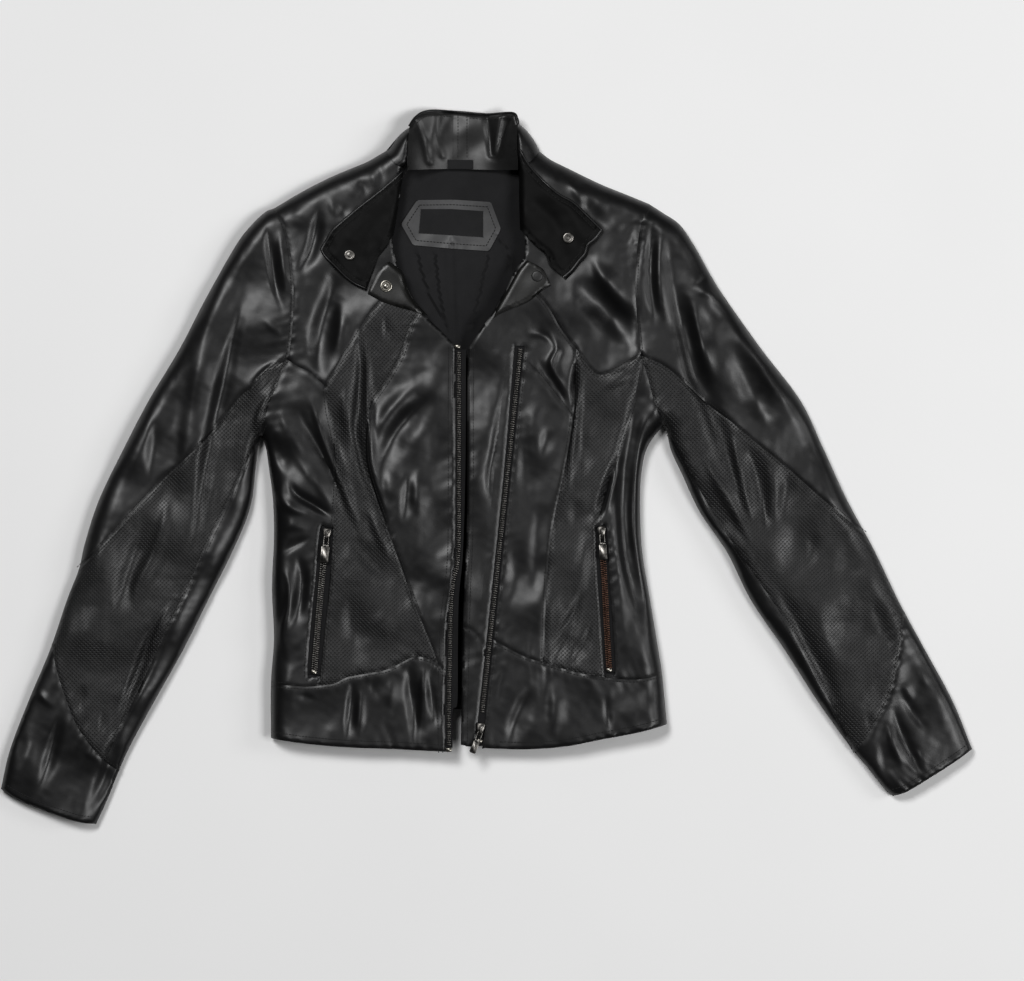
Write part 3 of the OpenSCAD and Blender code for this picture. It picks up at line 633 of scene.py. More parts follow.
def place(obj, body, turn, replaces, material):
    """Puts a piece on its body, or fixes it where it lies if it crosses a fold line, and gives it its
    finish.
    """
    if material is not None:
        obj.data.materials.append(material)
    if turn is None:
        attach(obj, body)
    else:
        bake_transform(obj)
    if replaces:
        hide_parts(*replaces)
    return obj


def loop_of(*pieces):
    """A closed loop from curve pieces."""
    pts = chain(*pieces)
    if np.linalg.norm(pts[0] - pts[-1]) < 0.6:
        pts = pts[:-1]
    return pts


class Builder:
    """Gathers many small shapes into one mesh."""

    def __init__(self):
        self.verts = []
        self.faces = []
        self.count = 0

    def add(self, verts, faces):
        self.verts.append(np.asarray(verts, float))
        self.faces += [[i + self.count for i in f] for f in faces]
        self.count += len(verts)

    def object(self, name):
        return new_object(name, np.vstack(self.verts), self.faces)


def turned(points, at, angle):
    """Points turned about +Z by angle and moved to at."""
    c, s = math.cos(angle), math.sin(angle)
    p = np.asarray(points, float)
    x, y = p[:, 0] * c - p[:, 1] * s, p[:, 0] * s + p[:, 1] * c
    return np.column_stack([x + at[0], y + at[1], p[:, 2] + at[2]])


def rounded_outline(width, length, radius, corner=5):
    """A rectangle with rounded corners, centred, anticlockwise."""
    pts = []
    for k in range(4):
        cx = (width / 2 - radius) * (1 if k in (0, 3) else -1)
        cy = (length / 2 - radius) * (1 if k in (0, 1) else -1)
        for i in range(corner + 1):
            a = math.pi / 2 * (k + i / corner)
            pts.append((cx + radius * math.cos(a), cy + radius * math.sin(a)))
    return np.array(pts)


def slab(outline, z0, z1, bevel=0.3):
    """A plate over an outline, its top and bottom rims bevelled."""
    centre = outline.mean(0)
    out = outline - centre
    reach = np.linalg.norm(out, axis=1, keepdims=True)
    inner = centre + out * (1 - bevel / np.maximum(reach, 1e-6))
    rings = [(inner, z0), (outline, z0 + bevel), (outline, z1 - bevel), (inner, z1)]
    n = len(outline)
    verts = np.vstack([np.column_stack([p, np.full(n, z)]) for p, z in rings])
    faces = [[(r * n + i), r * n + (i + 1) % n, (r + 1) * n + (i + 1) % n, (r + 1) * n + i]
             for r in range(3) for i in range(n)]
    faces.append(list(range(3 * n, 4 * n)))
    faces.append(list(range(n))[::-1])
    return verts, faces


def lathe(profile):
    """A ring of faces from a profile of (radius, z), closed top and bottom."""
    count = 32
    verts = []
    for r, z in profile:
        for k in range(count):
            a = 2 * math.pi * k / count
            verts.append((r * math.cos(a), r * math.sin(a), z))
    faces = []
    for j in range(len(profile) - 1):
        for k in range(count):
            m = (k + 1) % count
            faces.append([j * count + k, j * count + m, (j + 1) * count + m, (j + 1) * count + k])
    faces.append(list(range(count))[::-1])
    faces.append([(len(profile) - 1) * count + k for k in range(count)])
    return verts, faces


def tube(points, radius, closed=False):
    """A round cord through 3-D points."""
    sides = 8
    p = np.asarray(points, float)
    n = len(p)
    if closed:
        tangent = np.roll(p, -1, 0) - np.roll(p, 1, 0)
    else:
        tangent = np.gradient(p, axis=0)
    tangent /= np.linalg.norm(tangent, axis=1, keepdims=True)
    up = np.array([0, 0, 1.0])
    side = np.cross(tangent, up)
    side /= np.maximum(np.linalg.norm(side, axis=1, keepdims=True), 1e-6)
    lift = np.cross(side, tangent)
    angles = 2 * np.pi * np.arange(sides) / sides
    verts = np.vstack([p + radius * (math.cos(a) * side + math.sin(a) * lift) for a in angles])
    last = n if closed else n - 1
    faces = [[k * n + i, k * n + (i + 1) % n, ((k + 1) % sides) * n + (i + 1) % n,
              ((k + 1) % sides) * n + i] for k in range(sides) for i in range(last)]
    if not closed:
        faces.append([k * n for k in range(sides)])
        faces.append([k * n + n - 1 for k in range(sides)][::-1])
    return verts, faces


# ---- materials ------------------------------------------------------------

class Finish:
    """A principled material with small helpers for its nodes."""

    def __init__(self, name):
        self.mat = bpy.data.materials.new(name)
        self.mat.use_nodes = True
        self.nodes = self.mat.node_tree.nodes
        self.links = self.mat.node_tree.links
        self.shader = self.nodes["Principled BSDF"]
        coord = self.nodes.new("ShaderNodeTexCoord")
        self.place = coord.outputs["Object"]

    def noise(self, scale, detail=4, rough=0.55, stretch=None):
        """Soft noise, from 0 to 1."""
        node = self.nodes.new("ShaderNodeTexNoise")
        node.inputs["Scale"].default_value = scale
        node.inputs["Detail"].default_value = detail
        node.inputs["Roughness"].default_value = rough
        self.links.new(self.stretched(stretch), node.inputs["Vector"])
        return node.outputs["Fac"]

    def stretched(self, stretch):
        """The point in space, scaled unevenly if asked."""
        if stretch is None:
            return self.place
        node = self.nodes.new("ShaderNodeMapping")
        node.inputs["Scale"].default_value = stretch
        self.links.new(self.place, node.inputs["Vector"])
        return node.outputs["Vector"]

    def cells(self, scale):
        """Distance from the edges of small irregular cells."""
        node = self.nodes.new("ShaderNodeTexVoronoi")
        node.feature = "DISTANCE_TO_EDGE"
        node.inputs["Scale"].default_value = scale
        self.links.new(self.place, node.inputs["Vector"])
        return node.outputs["Distance"]

    def dots(self, pitch):
        """Distance from the nearest of a diagonal grid of dots in plan, in pitches."""
        turn = self.nodes.new("ShaderNodeMapping")
        turn.inputs["Rotation"].default_value = (0, 0, math.radians(45))
        self.links.new(self.place, turn.inputs["Vector"])
        flat = self.nodes.new("ShaderNodeMapping")
        flat.inputs["Scale"].default_value = (1 / (pitch * MM), 1 / (pitch * MM), 0)
        self.links.new(turn.outputs["Vector"], flat.inputs["Vector"])
        node = self.nodes.new("ShaderNodeTexVoronoi")
        node.voronoi_dimensions = "2D"
        node.inputs["Scale"].default_value = 1
        node.inputs["Randomness"].default_value = 0
        self.links.new(flat.outputs["Vector"], node.inputs["Vector"])
        return node.outputs["Distance"]

    def wave(self, scale, direction):
        """Even bands across X or Y."""
        node = self.nodes.new("ShaderNodeTexWave")
        node.bands_direction = direction
        node.inputs["Scale"].default_value = scale
        node.inputs["Distortion"].default_value = 0.6
        self.links.new(self.place, node.inputs["Vector"])
        return node.outputs["Fac"]

    def ramp(self, value, *stops):
        """A value turned into a colour; each stop is a place and a colour."""
        node = self.nodes.new("ShaderNodeValToRGB")
        while len(node.color_ramp.elements) < len(stops):
            node.color_ramp.elements.new(0.5)
        for element, (at, colour) in zip(node.color_ramp.elements, stops):
            element.position = at
            element.color = (*colour, 1) if hasattr(colour, "__len__") else (colour,) * 3 + (1,)
        self.links.new(value, node.inputs["Fac"])
        return node.outputs["Color"]

    def math(self, kind, a, b):
        """Two values or sockets combined."""
        node = self.nodes.new("ShaderNodeMath")
        node.operation = kind
        for socket, value in zip(node.inputs, (a, b)):
            if isinstance(value, (int, float)):
                socket.default_value = value
            else:
                self.links.new(value, socket)
        return node.outputs["Value"]

    def colour(self, value):
        """The base colour."""
        self.links.new(value, self.shader.inputs["Base Color"])

    def roughness(self, value, low, high):
        """Roughness between two limits."""
        node = self.nodes.new("ShaderNodeMapRange")
        node.inputs["To Min"].default_value = low
        node.inputs["To Max"].default_value = high
        self.links.new(value, node.inputs["Value"])
        self.links.new(node.outputs["Result"], self.shader.inputs["Roughness"])

    def bumps(self, *layers):
        """Bump layers as (value, strength, height in mm), one over the other."""
        normal = None
        for value, strength, height in layers:
            node = self.nodes.new("ShaderNodeBump")
            node.inputs["Strength"].default_value = strength
            node.inputs["Distance"].default_value = height * MM
            self.links.new(value, node.inputs["Height"])
            if normal is not None:
                self.links.new(normal, node.inputs["Normal"])
            normal = node.outputs["Normal"]
        self.links.new(normal, self.shader.inputs["Normal"])

    def metal(self, amount):
        """How metallic the finish is."""
        self.shader.inputs["Metallic"].default_value = amount


def leather(name, dark, light, rough_low, rough_high, holes=False, shine=0.5):
    """Soft black leather with fine grain, creases, painted shade in the crease hollows and slight rubbing.
    """
    f = Finish(name)
    patches = f.noise(14, 5)
    grain = f.cells(900)
    crease_and_painted_shade = f.noise(160, 6, 0.65)
    # The tone follows the crease bump and is darker in its hollows: painted shade in the creases. The
    # lighter patches are rubbing.
    tone = f.ramp(f.math("MULTIPLY", patches, f.math("ADD", crease_and_painted_shade, 0.45)),
                  (0.2, dark), (0.9, light))
    layers = [(crease_and_painted_shade, 0.2, 0.25), (grain, 0.25, 0.1), (f.noise(60, 3), 0.15, 0.4)]
    if holes:
        pit = f.ramp(f.dots(HOLE_PITCH), (0.2, 0.0), (0.36, 1.0))
        mix = f.nodes.new("ShaderNodeMix")
        mix.data_type = "RGBA"
        mix.blend_type = "MULTIPLY"
        mix.inputs["Factor"].default_value = 0.85
        f.links.new(tone, mix.inputs[6])
        f.links.new(pit, mix.inputs[7])
        tone = mix.outputs[2]
        layers.append((pit, 0.7, 0.4))
    f.colour(tone)
    f.roughness(f.noise(45, 5), rough_low, rough_high)
    f.shader.inputs["Specular IOR Level"].default_value = shine
    f.bumps(*layers)
    return f.mat


def cloth(name, dark, light, pitch, rough=0.85):
    """Thin woven cloth."""
    f = Finish(name)
    warp = f.wave(1000 / pitch / 6.3, "X")
    weft = f.wave(1000 / pitch / 6.3, "Y")
    weave = f.math("MAXIMUM", warp, weft)
    tone = f.math("MULTIPLY", weave, f.math("ADD", f.noise(30, 5), 0.3))
    f.colour(f.ramp(tone, (0.1, dark), (0.9, light)))
    f.roughness(f.noise(80), rough - 0.15, rough)
    f.shader.inputs["Sheen Weight"].default_value = 0.1
    f.shader.inputs["Specular IOR Level"].default_value = 0.25
    f.bumps((weave, 0.3, 0.15), (f.noise(120, 5), 0.3, 0.4))
    return f.mat


def metal(name, dark, light, rough_low, rough_high):
    """Plated metal with tarnish in patches and fine scratches."""
    f = Finish(name)
    patch = f.noise(260, 5)
    scratch = f.noise(500, 3, 0.6, (1, 9, 1))
    f.colour(f.ramp(f.math("MULTIPLY", patch, f.math("ADD", scratch, 0.5)),
                    (0.25, dark), (0.75, light)))
    f.roughness(patch, rough_low, rough_high)
    f.metal(1.0)
    f.bumps((scratch, 0.2, 0.05), (patch, 0.2, 0.1))
    return f.mat


BLACK = leather("leather_black", (0.003, 0.003, 0.0033), (0.012, 0.012, 0.0125), 0.31, 0.46)
PERFORATED = leather("leather_perforated", (0.007, 0.007, 0.0074), (0.025, 0.025, 0.0255),
                     0.34, 0.5, True)
COLLAR = leather("leather_collar", (0.0015, 0.0015, 0.0015), (0.005, 0.005, 0.005), 0.5, 0.7,
                 shine=0.16)
INSIDE = leather("leather_inside", (0.006, 0.006, 0.006), (0.026, 0.026, 0.026), 0.33, 0.5)
LAPEL = leather("leather_lapel", (0.004, 0.004, 0.0035), (0.012, 0.012, 0.011), 0.3, 0.42)
PATCH = leather("patch_leather", (0.034, 0.034, 0.035), (0.08, 0.08, 0.082), 0.4, 0.55)
LINING = cloth("lining_cloth", (0.007, 0.007, 0.0076), (0.021, 0.021, 0.0225), 0.5)
TAPE_CLOTH = cloth("zip_tape", (0.003, 0.003, 0.0035), (0.011, 0.011, 0.012), 0.8)
LABEL = cloth("label_cloth", (0.008, 0.008, 0.009), (0.022, 0.022, 0.023), 0.4)
THREAD = cloth("stitch_thread", (0.008, 0.008, 0.008), (0.03, 0.03, 0.03), 0.3, 0.7)
NICKEL = metal("dark_nickel", (0.06, 0.058, 0.055), (0.26, 0.25, 0.235), 0.26, 0.45)
COPPER = metal("copper_teeth", (0.05, 0.03, 0.023), (0.22, 0.125, 0.09), 0.3, 0.5)
RING = metal("ring_nickel", (0.1, 0.097, 0.088), (0.34, 0.325, 0.29), 0.25, 0.4)


# ---- fold lines that pieces cross ------------------------------------------

def across(a, b, line_point, normal, start, end):
    """A bend between bodies a and b, from start to end mm along a normal to the fold line."""
    p, n = np.array(line_point, float), np.array(normal, float)
    n /= np.linalg.norm(n)
    return (a, b, (*(p + n * start), FRONT_TOP), (*(p + n * end), FRONT_TOP))


BEND_FRONT_L = across("torso", "front_turnback", (-106, -78), (398, -152), -4, 14)
BEND_FLAP = across("torso", "front_flap", (0, 118), (0, -1), 0, 70)
BEND_COLLAR_L = across("torso", "collar_left", (-96, 230), (-112, 18), 0, 14)
BEND_COLLAR_R = across("torso", "collar_right", (37, 240), (1, 0), 0, 14)
BEND_LAPEL_L = across("torso", "lapel_left", (-73, 177), (-57, -37), 1, 12)
BEND_LAPEL_R = across("torso", "lapel_right", (8.5, 167), (86, -54), 1, 12)
BEND_SLEEVE_L = across("torso", "sleeve_left", (-225, 0), (-1, 0), 0, 50)
BEND_SLEEVE_R = across("torso", "sleeve_right", (177, 0), (1, 0), 0, 50)


# ---- fronts and sleeves -----------------------------------------------------

def panel(name, *pieces, nodes=None, turn=None, holes=False):
    """One upper panel of leather, standing for the node of its own name if none is given."""
    skin(name + "_leather", loop_of(*pieces), top_height, turn=turn,
         slot="leather_perforated" if holes else "leather_black",
         replaces=[name] if nodes is None else nodes, material=PERFORATED if holes else BLACK)


def front_panels():
    """The leather of both fronts."""
    left = dict(turn=BEND_FRONT_L)
    panel("front_shoulder_left", part(NECK_L, (-86, 300), (-83, 186)),
          part(INSERT_TOP_L, (-83, 186), (-161, 81)), part(CHEST_L, (-161, 81), (-199, 108)),
          part(ARM_L, (-199, 108), (-212, 260)), SHOULDER_L, ROOT_L)
    panel("front_insert_left", part(INSERT_TOP_L, (-161, 81), (-83, 186)),
          part(NECK_L, (-83, 186), (-66, 157)), PRINCESS_L,
          part(HEM_SEAM_L, (-48, -196), (-167, -217)), SLOT_L_RIGHT[::-1],
          INSERT_SIDE_L[::-1], holes=True,
          nodes=["front_chest_perforated_left", "front_lower_perforated_left"], **left)
    panel("front_side_left", CHEST_L, INSERT_SIDE_L, SLOT_L_LEFT,
          part(HEM_SEAM_L, (-167, -217), (-216, -216)), part(SIDE_L, (-216, -216), (-225, 31)),
          part(ARM_L, (-225, 31), (-199, 108)))
    panel("front_centre_left", PRINCESS_L, part(HEM_SEAM_L, (-48, -196), (-41, -207)),
          part(FRONT_L, (-41, -207), (-31, 121)), part(NECK_L, (-31, 121), (-66, 157)), **left)
    panel("hem_band_left", HEM_SEAM_L, part(FRONT_L, (-41, -207), (-41, -283)), HEM_L,
          part(SIDE_L, (-216, -270), (-216, -216)),
          nodes=["hem_band_left", "hem_band_left_inner"], **left)
    panel("front_shoulder_right", part(NECK_R, (34, 300), (28, 197)), INSERT_TOP_R,
          part(ARM_R, (154, 112), (162, 264)), SHOULDER_R[::-1], ROOT_R)
    panel("front_insert_right", part(INSERT_TOP_R, (89, 119), (154, 112)), INSERT_SIDE_R,
          SLOT_R_LEFT, part(HEM_SEAM_R, (118, -209), (57, -194)), INSERT_FRONT_R[::-1],
          holes=True, nodes=["front_chest_perforated_right", "front_lower_perforated_right"])
    panel("front_side_right", INSERT_SIDE_R, SLOT_R_RIGHT,
          part(HEM_SEAM_R, (118, -209), (175, -206)), part(SIDE_R, (175, -206), (176, 42)),
          part(ARM_R, (176, 42), (154, 112)))
    zip_top, zip_low = zip_at(122, ZIP_SLOT), zip_at(-171, ZIP_SLOT)
    tape_top = (27.5, 122)
    panel("front_centre_right", part(INSERT_TOP_R, (28, 197), (89, 119)), INSERT_FRONT_R,
          part(HEM_SEAM_R, (57, -194), zip_low), part(ZIP_RIGHT_EDGE, zip_low, zip_top),
          spline(zip_top, tape_top), spline(tape_top, FOLD_TOP), spline(FOLD_TOP, (-19, 119)),
          part(NECK_R, (-19, 119), (28, 197)))
    panel("front_strip_right", FOLD_LINE, spline(FOLD_FOOT, zip_at(-278.5, -ZIP_SLOT)),
          ZIP_LEFT_EDGE[::-1], spline(tape_top, FOLD_TOP), nodes=())
    panel("front_flap_right", FRONT_R, part(HEM_R, (-26, -276), FOLD_FOOT), FOLD_LINE[::-1],
          spline(FOLD_TOP, (-19, 119)), turn=BEND_FLAP)
    zip_foot = zip_at(-279.6, ZIP_SLOT)
    panel("hem_band_right", HEM_SEAM_R, part(SIDE_R, (175, -206), (180, -256)),
          part(HEM_R, (180, -256), zip_foot), part(ZIP_RIGHT_EDGE, zip_foot, zip_low))


def sleeve_panels():
    """The leather of both sleeves, upper faces and undersides."""
    left = dict(turn=BEND_SLEEVE_L)
    right = dict(turn=BEND_SLEEVE_R)
    panel("sleeve_upper_left", part(ARM_L, (-199, 108), (-212, 260)),
          part(OUTER_L, (-212, 260), (-408, -101)), DIAG_L[::-1], **left)
    panel("sleeve_forearm_left", DIAG_L, part(OUTER_L, (-408, -101), (-435, -176)),
          part(CUFF_SEAM_L, (-435, -176), (-382, -293)), INNER_SEAM_L[::-1],
          part(ARM_L, (-222, 44), (-199, 108)), holes=True, **left)
    panel("sleeve_inner_left", INNER_SEAM_L, part(CUFF_SEAM_L, (-382, -293), (-368, -303)),
          part(INNER_L, (-368, -303), (-225, 31)), part(ARM_L, (-225, 31), (-222, 44)),
          nodes=(), **left)
    panel("sleeve_cuff_left", CUFF_SEAM_L, part(INNER_L, (-368, -303), (-391, -356)),
          CUFF_L[::-1], part(OUTER_L, (-486, -321), (-435, -176)), **left)
    panel("sleeve_upper_right", part(ARM_R, (154, 112), (162, 264)),
          part(OUTER_R, (162, 264), (378, -66)), DIAG_R[::-1], **right)
    panel("sleeve_forearm_right", DIAG_R, part(OUTER_R, (378, -66), (417, -145)), CUFF_SEAM_R,
          INNER_SEAM_R[::-1], part(ARM_R, (171, 55), (154, 112)), holes=True, **right)
    panel("sleeve_inner_right", INNER_SEAM_R, part(INNER_R, (369, -284), (176, 42)),
          part(ARM_R, (176, 42), (171, 55)), nodes=(), **right)
    panel("sleeve_cuff_right", CUFF_SEAM_R, part(INNER_R, (369, -284), (406, -328)),
          CUFF_R[::-1], part(OUTER_R, (485, -281), (417, -145)), **right)
    for side, pieces, bend in (("left", (ARM_L, OUTER_L, CUFF_L, INNER_L), left),
                               ("right", (ARM_R, OUTER_R, CUFF_R, INNER_R), right)):
        skin(f"sleeve_under_{side}_leather", loop_of(*pieces), under_height, grid=5,
             slot="leather_black", replaces=[f"sleeve_under_{side}", f"sleeve_side_{side}"],
             material=BLACK, **bend)
        lining_sheet(f"sleeve_lining_{side}_cloth", inset(loop_of(*pieces), 4),
                     raised(top_height, -SLEEVE_LINING_DROP), bend["turn"],
                     [f"sleeve_lining_{side}"])


def inset(loop, by):
    """The loop moved inwards."""
    ahead, behind = np.roll(loop, -3, 0), np.roll(loop, 3, 0)
    t = ahead - behind
    t /= np.linalg.norm(t, axis=1, keepdims=True)
    area = (loop[:, 0] * np.roll(loop[:, 1], -1) - np.roll(loop[:, 0], -1) * loop[:, 1]).sum()
    n = np.column_stack([-t[:, 1], t[:, 0]]) * np.sign(area)
    moved = loop + n * by
    closed = np.vstack([loop, loop[:1]])
    far = distance(moved[:, 0], moved[:, 1], closed)[0] > by * 0.93
    return moved[far & inside(moved[:, 0], moved[:, 1], loop)][::2]


def lining_sheet(name, loop, height, turn, nodes, grid=5):
    """A sheet of lining cloth."""
    obj = skin(name, loop, height, thick=CLOTH, grid=grid, turn=turn,
               slot="lining_cloth", replaces=nodes, material=LINING)
    return obj


# ---- back and linings -------------------------------------------------------

BACK_LOOP = loop_of(
    part(SIDE_L, (-215, -236), (-225, 31)), ARM_L, SHOULDER_L,
    spline((-101, 317), (-94, 312), (-60, 309), (10, 309), (42, 312), (53, 316)), SHOULDER_R,
    ARM_R[::-1], part(SIDE_R, (176, 42), (177, -232)),
    spline((177, -232), (100, -239), (0, -241), (-120, -240), (-215, -236)))


def lining_height(x, y):
    """Height of the back lining, with its centre pleat and soft creases."""
    z = 5.2 + 1.3 * waves(x, y, 75, 21) + 0.45 * waves(x, y, 26, 22)
    pleat = spline((-36, 222), (-35, 180), (-33, 120), (-32, 20), (-31, -220), step=6)
    z += added(x, y, pleat, 16, lambda d, s, side: -1.6 * np.exp(-(d / 1.3) ** 2)
               + 1.4 * np.exp(-((d - 6 * (side > 0)) / 4.5) ** 2))
    for points in (((-70, 215), (-60, 180), (-44, 150)), ((2, 214), (-6, 180), (-16, 142)),
                   ((-52, 214), (-48, 180), (-40, 140)), ((12, 230), (22, 214), (24, 198))):
        z += added(x, y, spline(*points, step=6), 14,
                   lambda d, s, side: 1.5 * np.exp(-(d / 3.5) ** 2) * np.sign(side + 0.1))
    return np.maximum(z, 3.0)


PATCH_LOOP = [(-70, 268), (-33, 268.5), (4, 266), (14, 239), (2, 217), (-36, 219.5), (-74, 223),
              (-86, 244)]


def corner_loop(points, radius=3.0):
    """A closed loop with its corners rounded, its sides sampled evenly."""
    p = np.array(points, float)
    out = []
    for i, corner in enumerate(p):
        before, after = p[i - 1], p[(i + 1) % len(p)]
        a = corner + (before - corner) * radius / np.linalg.norm(before - corner)
        b = corner + (after - corner) * radius / np.linalg.norm(after - corner)
        for t in np.linspace(0, 1, 5):
            out.append((1 - t) ** 2 * a + 2 * t * (1 - t) * corner + t * t * b)
    out = np.array(out)
    return spline(*np.vstack([out, out[:1]]), step=1.8)[:-1]


def back_pieces():
    """The back, its lining, the hem facing, the patch, the label, the neck facing and tab."""
    skin("back_leather", BACK_LOOP, under_height, grid=6, slot="leather_black",
         replaces=["back_panel", "side_panel_left", "side_panel_right"], material=BLACK)
    lining_sheet("back_lining_cloth", inset(BACK_LOOP, 9), lining_height, None,
                 ["back_lining"], grid=3)
    skin("back_hem_leather", loop_of(
        spline((-200, -240), (-120, -240.5), (0, -241), (100, -239), (166, -233)),
        spline((166, -233), (165, -224)),
        spline((165, -224), (90, -227), (0, -227), (-100, -227), (-200, -226)),
        spline((-200, -226), (-200, -240))), lambda x, y: 6.4 + 0.5 * waves(x, y, 30, 31),
        thick=THIN_LEATHER, slot="leather_inside", replaces=["back_hem_facing"], material=INSIDE)
    patch = corner_loop(PATCH_LOOP)
    skin("lining_patch_leather", patch, raised(lining_height, 1.5), thick=1.3, slot="patch_leather",
         replaces=["lining_patch"], material=PATCH)
    rim = inset(patch, 5)
    b = Builder()
    stitch_line(b, np.vstack([rim, rim[:1]]), 0, raised(lining_height, 1.7))
    finish_stitches(b, "lining_patch_stitches", None)
    label = corner_loop([(-66, 259), (-35, 259), (-4, 257), (-4, 231), (-36, 233), (-68, 235)],
                        1.0)
    skin("blank_label_cloth", label, raised(lining_height, 2.3), thick=0.6, slot="label_cloth",
         replaces=["blank_label"], material=LABEL)
    facing = loop_of(spline((-80, 310), (-24, 309), (31, 310)), spline((31, 310), (31, 297)),
                     spline((31, 297), (0, 298), (-40, 299), (-79, 297)),
                     spline((-79, 297), (-80, 310)))
    skin("neck_facing_leather", facing, facing_height, thick=THIN_LEATHER, slot="leather_inside",
         replaces=["neck_facing"], material=INSIDE)
    tab = corner_loop([(-39, 308), (-14, 308), (-14, 299), (-39, 299)], 0.8)
    skin("neck_tab_cloth", tab, raised(facing_height, 1.1), thick=0.8,
         slot="label_cloth", replaces=["neck_tab"], material=LABEL)


def facing_height(x, y):
    """The neck facing lies on the collar's inner face."""
    return collar_height(x, y) + 0.6


def front_lining_height(x, y):
    """The lining hangs a little below the leather of the fronts."""
    return np.minimum(bed_height(x, y), top_height(x, y)) - LINING_DROP


def front_linings():
    """Lining cloth under both fronts."""
    left = loop_of(part(NECK_L, (-86, 300), (-31, 121)), FRONT_L, HEM_L, SIDE_L, ARM_L,
                   SHOULDER_L, ROOT_L)
    right = loop_of(part(NECK_R, (34, 300), (-19, 119)), spline((-19, 119), FOLD_TOP), FOLD_LINE,
                    part(HEM_R, FOLD_FOOT, (180, -256)), part(SIDE_R, (180, -256), (176, 42)),
                    ARM_R, SHOULDER_R[::-1], ROOT_R)
    lining_sheet("front_lining_left_cloth", inset(left, 6), front_lining_height, BEND_FRONT_L,
                 ["front_lining_left", "front_lining_left_inner"])
    lining_sheet("front_lining_right_cloth", inset(right, 6), front_lining_height, None,
                 ["front_lining_right"])
    for side, loop in (("left", [(-182, -56), (-146, -56), (-146, -90), (-164, -214),
                                 (-198, -214), (-198, -120)]),
                       ("right", [(98, -54), (134, -54), (142, -130), (148, -212), (106, -212),
                                  (94, -120)])):
        skin(f"pocket_bag_{side}_cloth", corner_loop(loop, 6), raised(bed_height, -BAG_DROP),
             thick=0.7, grid=6, slot="lining_cloth", replaces=[f"pocket_bag_{side}"],
             material=LINING)


# ---- collar and lapels ------------------------------------------------------

COLLAR_TOP = spline((-77, 341), (-72, 349), (-64, 355), (-52, 357), (-30, 356), (0, 353.5),
                    (25, 354), (30, 348), (31, 343))
FLANK_L = spline((-77, 341), (-84, 336), (-90, 330), (-97, 320), (-101, 317))
FLANK_R = spline((31, 345), (40, 337), (48, 326), (53, 316))
FLANK_IN_L = spline((-86, 300), (-80, 305), (-78, 322), (-77, 341))
FLANK_IN_R = spline((34, 300), (31, 312), (30, 325), (31, 345))
FLAP_L_OUT = spline((-79, 320), (-80, 305), (-88, 292), (-107, 275), (-130, 257), (-152, 238),
                    (-160, 226), (-165, 218))
FLAP_L_LOW = spline((-165, 218), (-161, 211), (-150, 200), (-140, 190), (-130, 183), (-121, 179))
FLAP_L_BASE = spline((-121, 179), (-113, 200), (-108, 212), (-100, 222), (-93, 233))
ROLL_L = spline((-93, 233), (-88, 262), (-84, 290), (-79, 320))
FLAP_R_OUT = spline((30, 322), (34, 315), (40, 304), (50, 292), (60, 282), (72, 272), (85, 265),
                    (95, 256), (105, 246), (114, 237))
FLAP_R_LOW = spline((114, 237), (107, 228), (100, 222), (97, 213), (91, 206), (84, 197), (76, 190))
FLAP_R_BASE = spline((76, 190), (65, 200), (60, 212), (50, 220), (40, 230), (33, 238))
ROLL_R = spline((33, 238), (32, 268), (32, 295), (30, 322))
LAPEL_L_OUT = spline((-96, 207), (-106, 198), (-112, 189), (-119, 174))
LAPEL_L_LOW = spline((-119, 174), (-105, 166), (-90, 161), (-75, 157), (-59, 152))
LAPEL_L_ROLL = spline((-59, 152), (-72, 167), (-79, 180), (-84, 195), (-96, 207))
LAPEL_R_OUT = spline((38, 208), (56, 198), (63, 183))
LAPEL_R_LOW = spline((63, 183), (57, 179), (42, 167), (27, 160), (10, 152), (0, 141), (-18, 119))
LAPEL_R_ROLL = spline((-18, 119), (0, 143), (10, 163), (20, 180), (30, 198), (38, 208))


def collar_height(x, y):
    """The inner face of the standing collar, dipping between its two fold-over ends."""
    u = np.abs(x + 24) / 55
    z = 9 + 21 * np.clip(u, 0, 1.1) ** 2.6
    z += 1.0 * waves(x, y, 34, 41)
    for points, h in ((((0, 352), (3, 330), (5, 313)), -3), (((20, 346), (14, 328), (9, 312)), -3),
                      (((-70, 345), (-62, 325), (-58, 306)), -2.4),
                      (((-48, 352), (-50, 330), (-44, 312)), 1.6),
                      (((12, 350), (10, 330), (8, 314)), 2.4)):
        z += added(x, y, spline(*points, step=6), 12, bell(h, 3.2))
    top = edge_distance(x, y, [COLLAR_TOP], 6)
    return z - 3.5 * (1 - rim(top, 5))


def flank_height(x, y):
    """Where the collar turns over on to the shoulders."""
    d = edge_distance(x, y, [SHOULDER_L, SHOULDER_R, FLANK_L, FLANK_R], 14)
    r = edge_distance(x, y, [FLANK_IN_L, FLANK_IN_R], 6)
    z = 31 + 0.8 * waves(x, y, 30, 43) - 2.5 * (1 - rim(r, 5))
    return EDGE_MID + (z - EDGE_MID) * rim(d, 14)


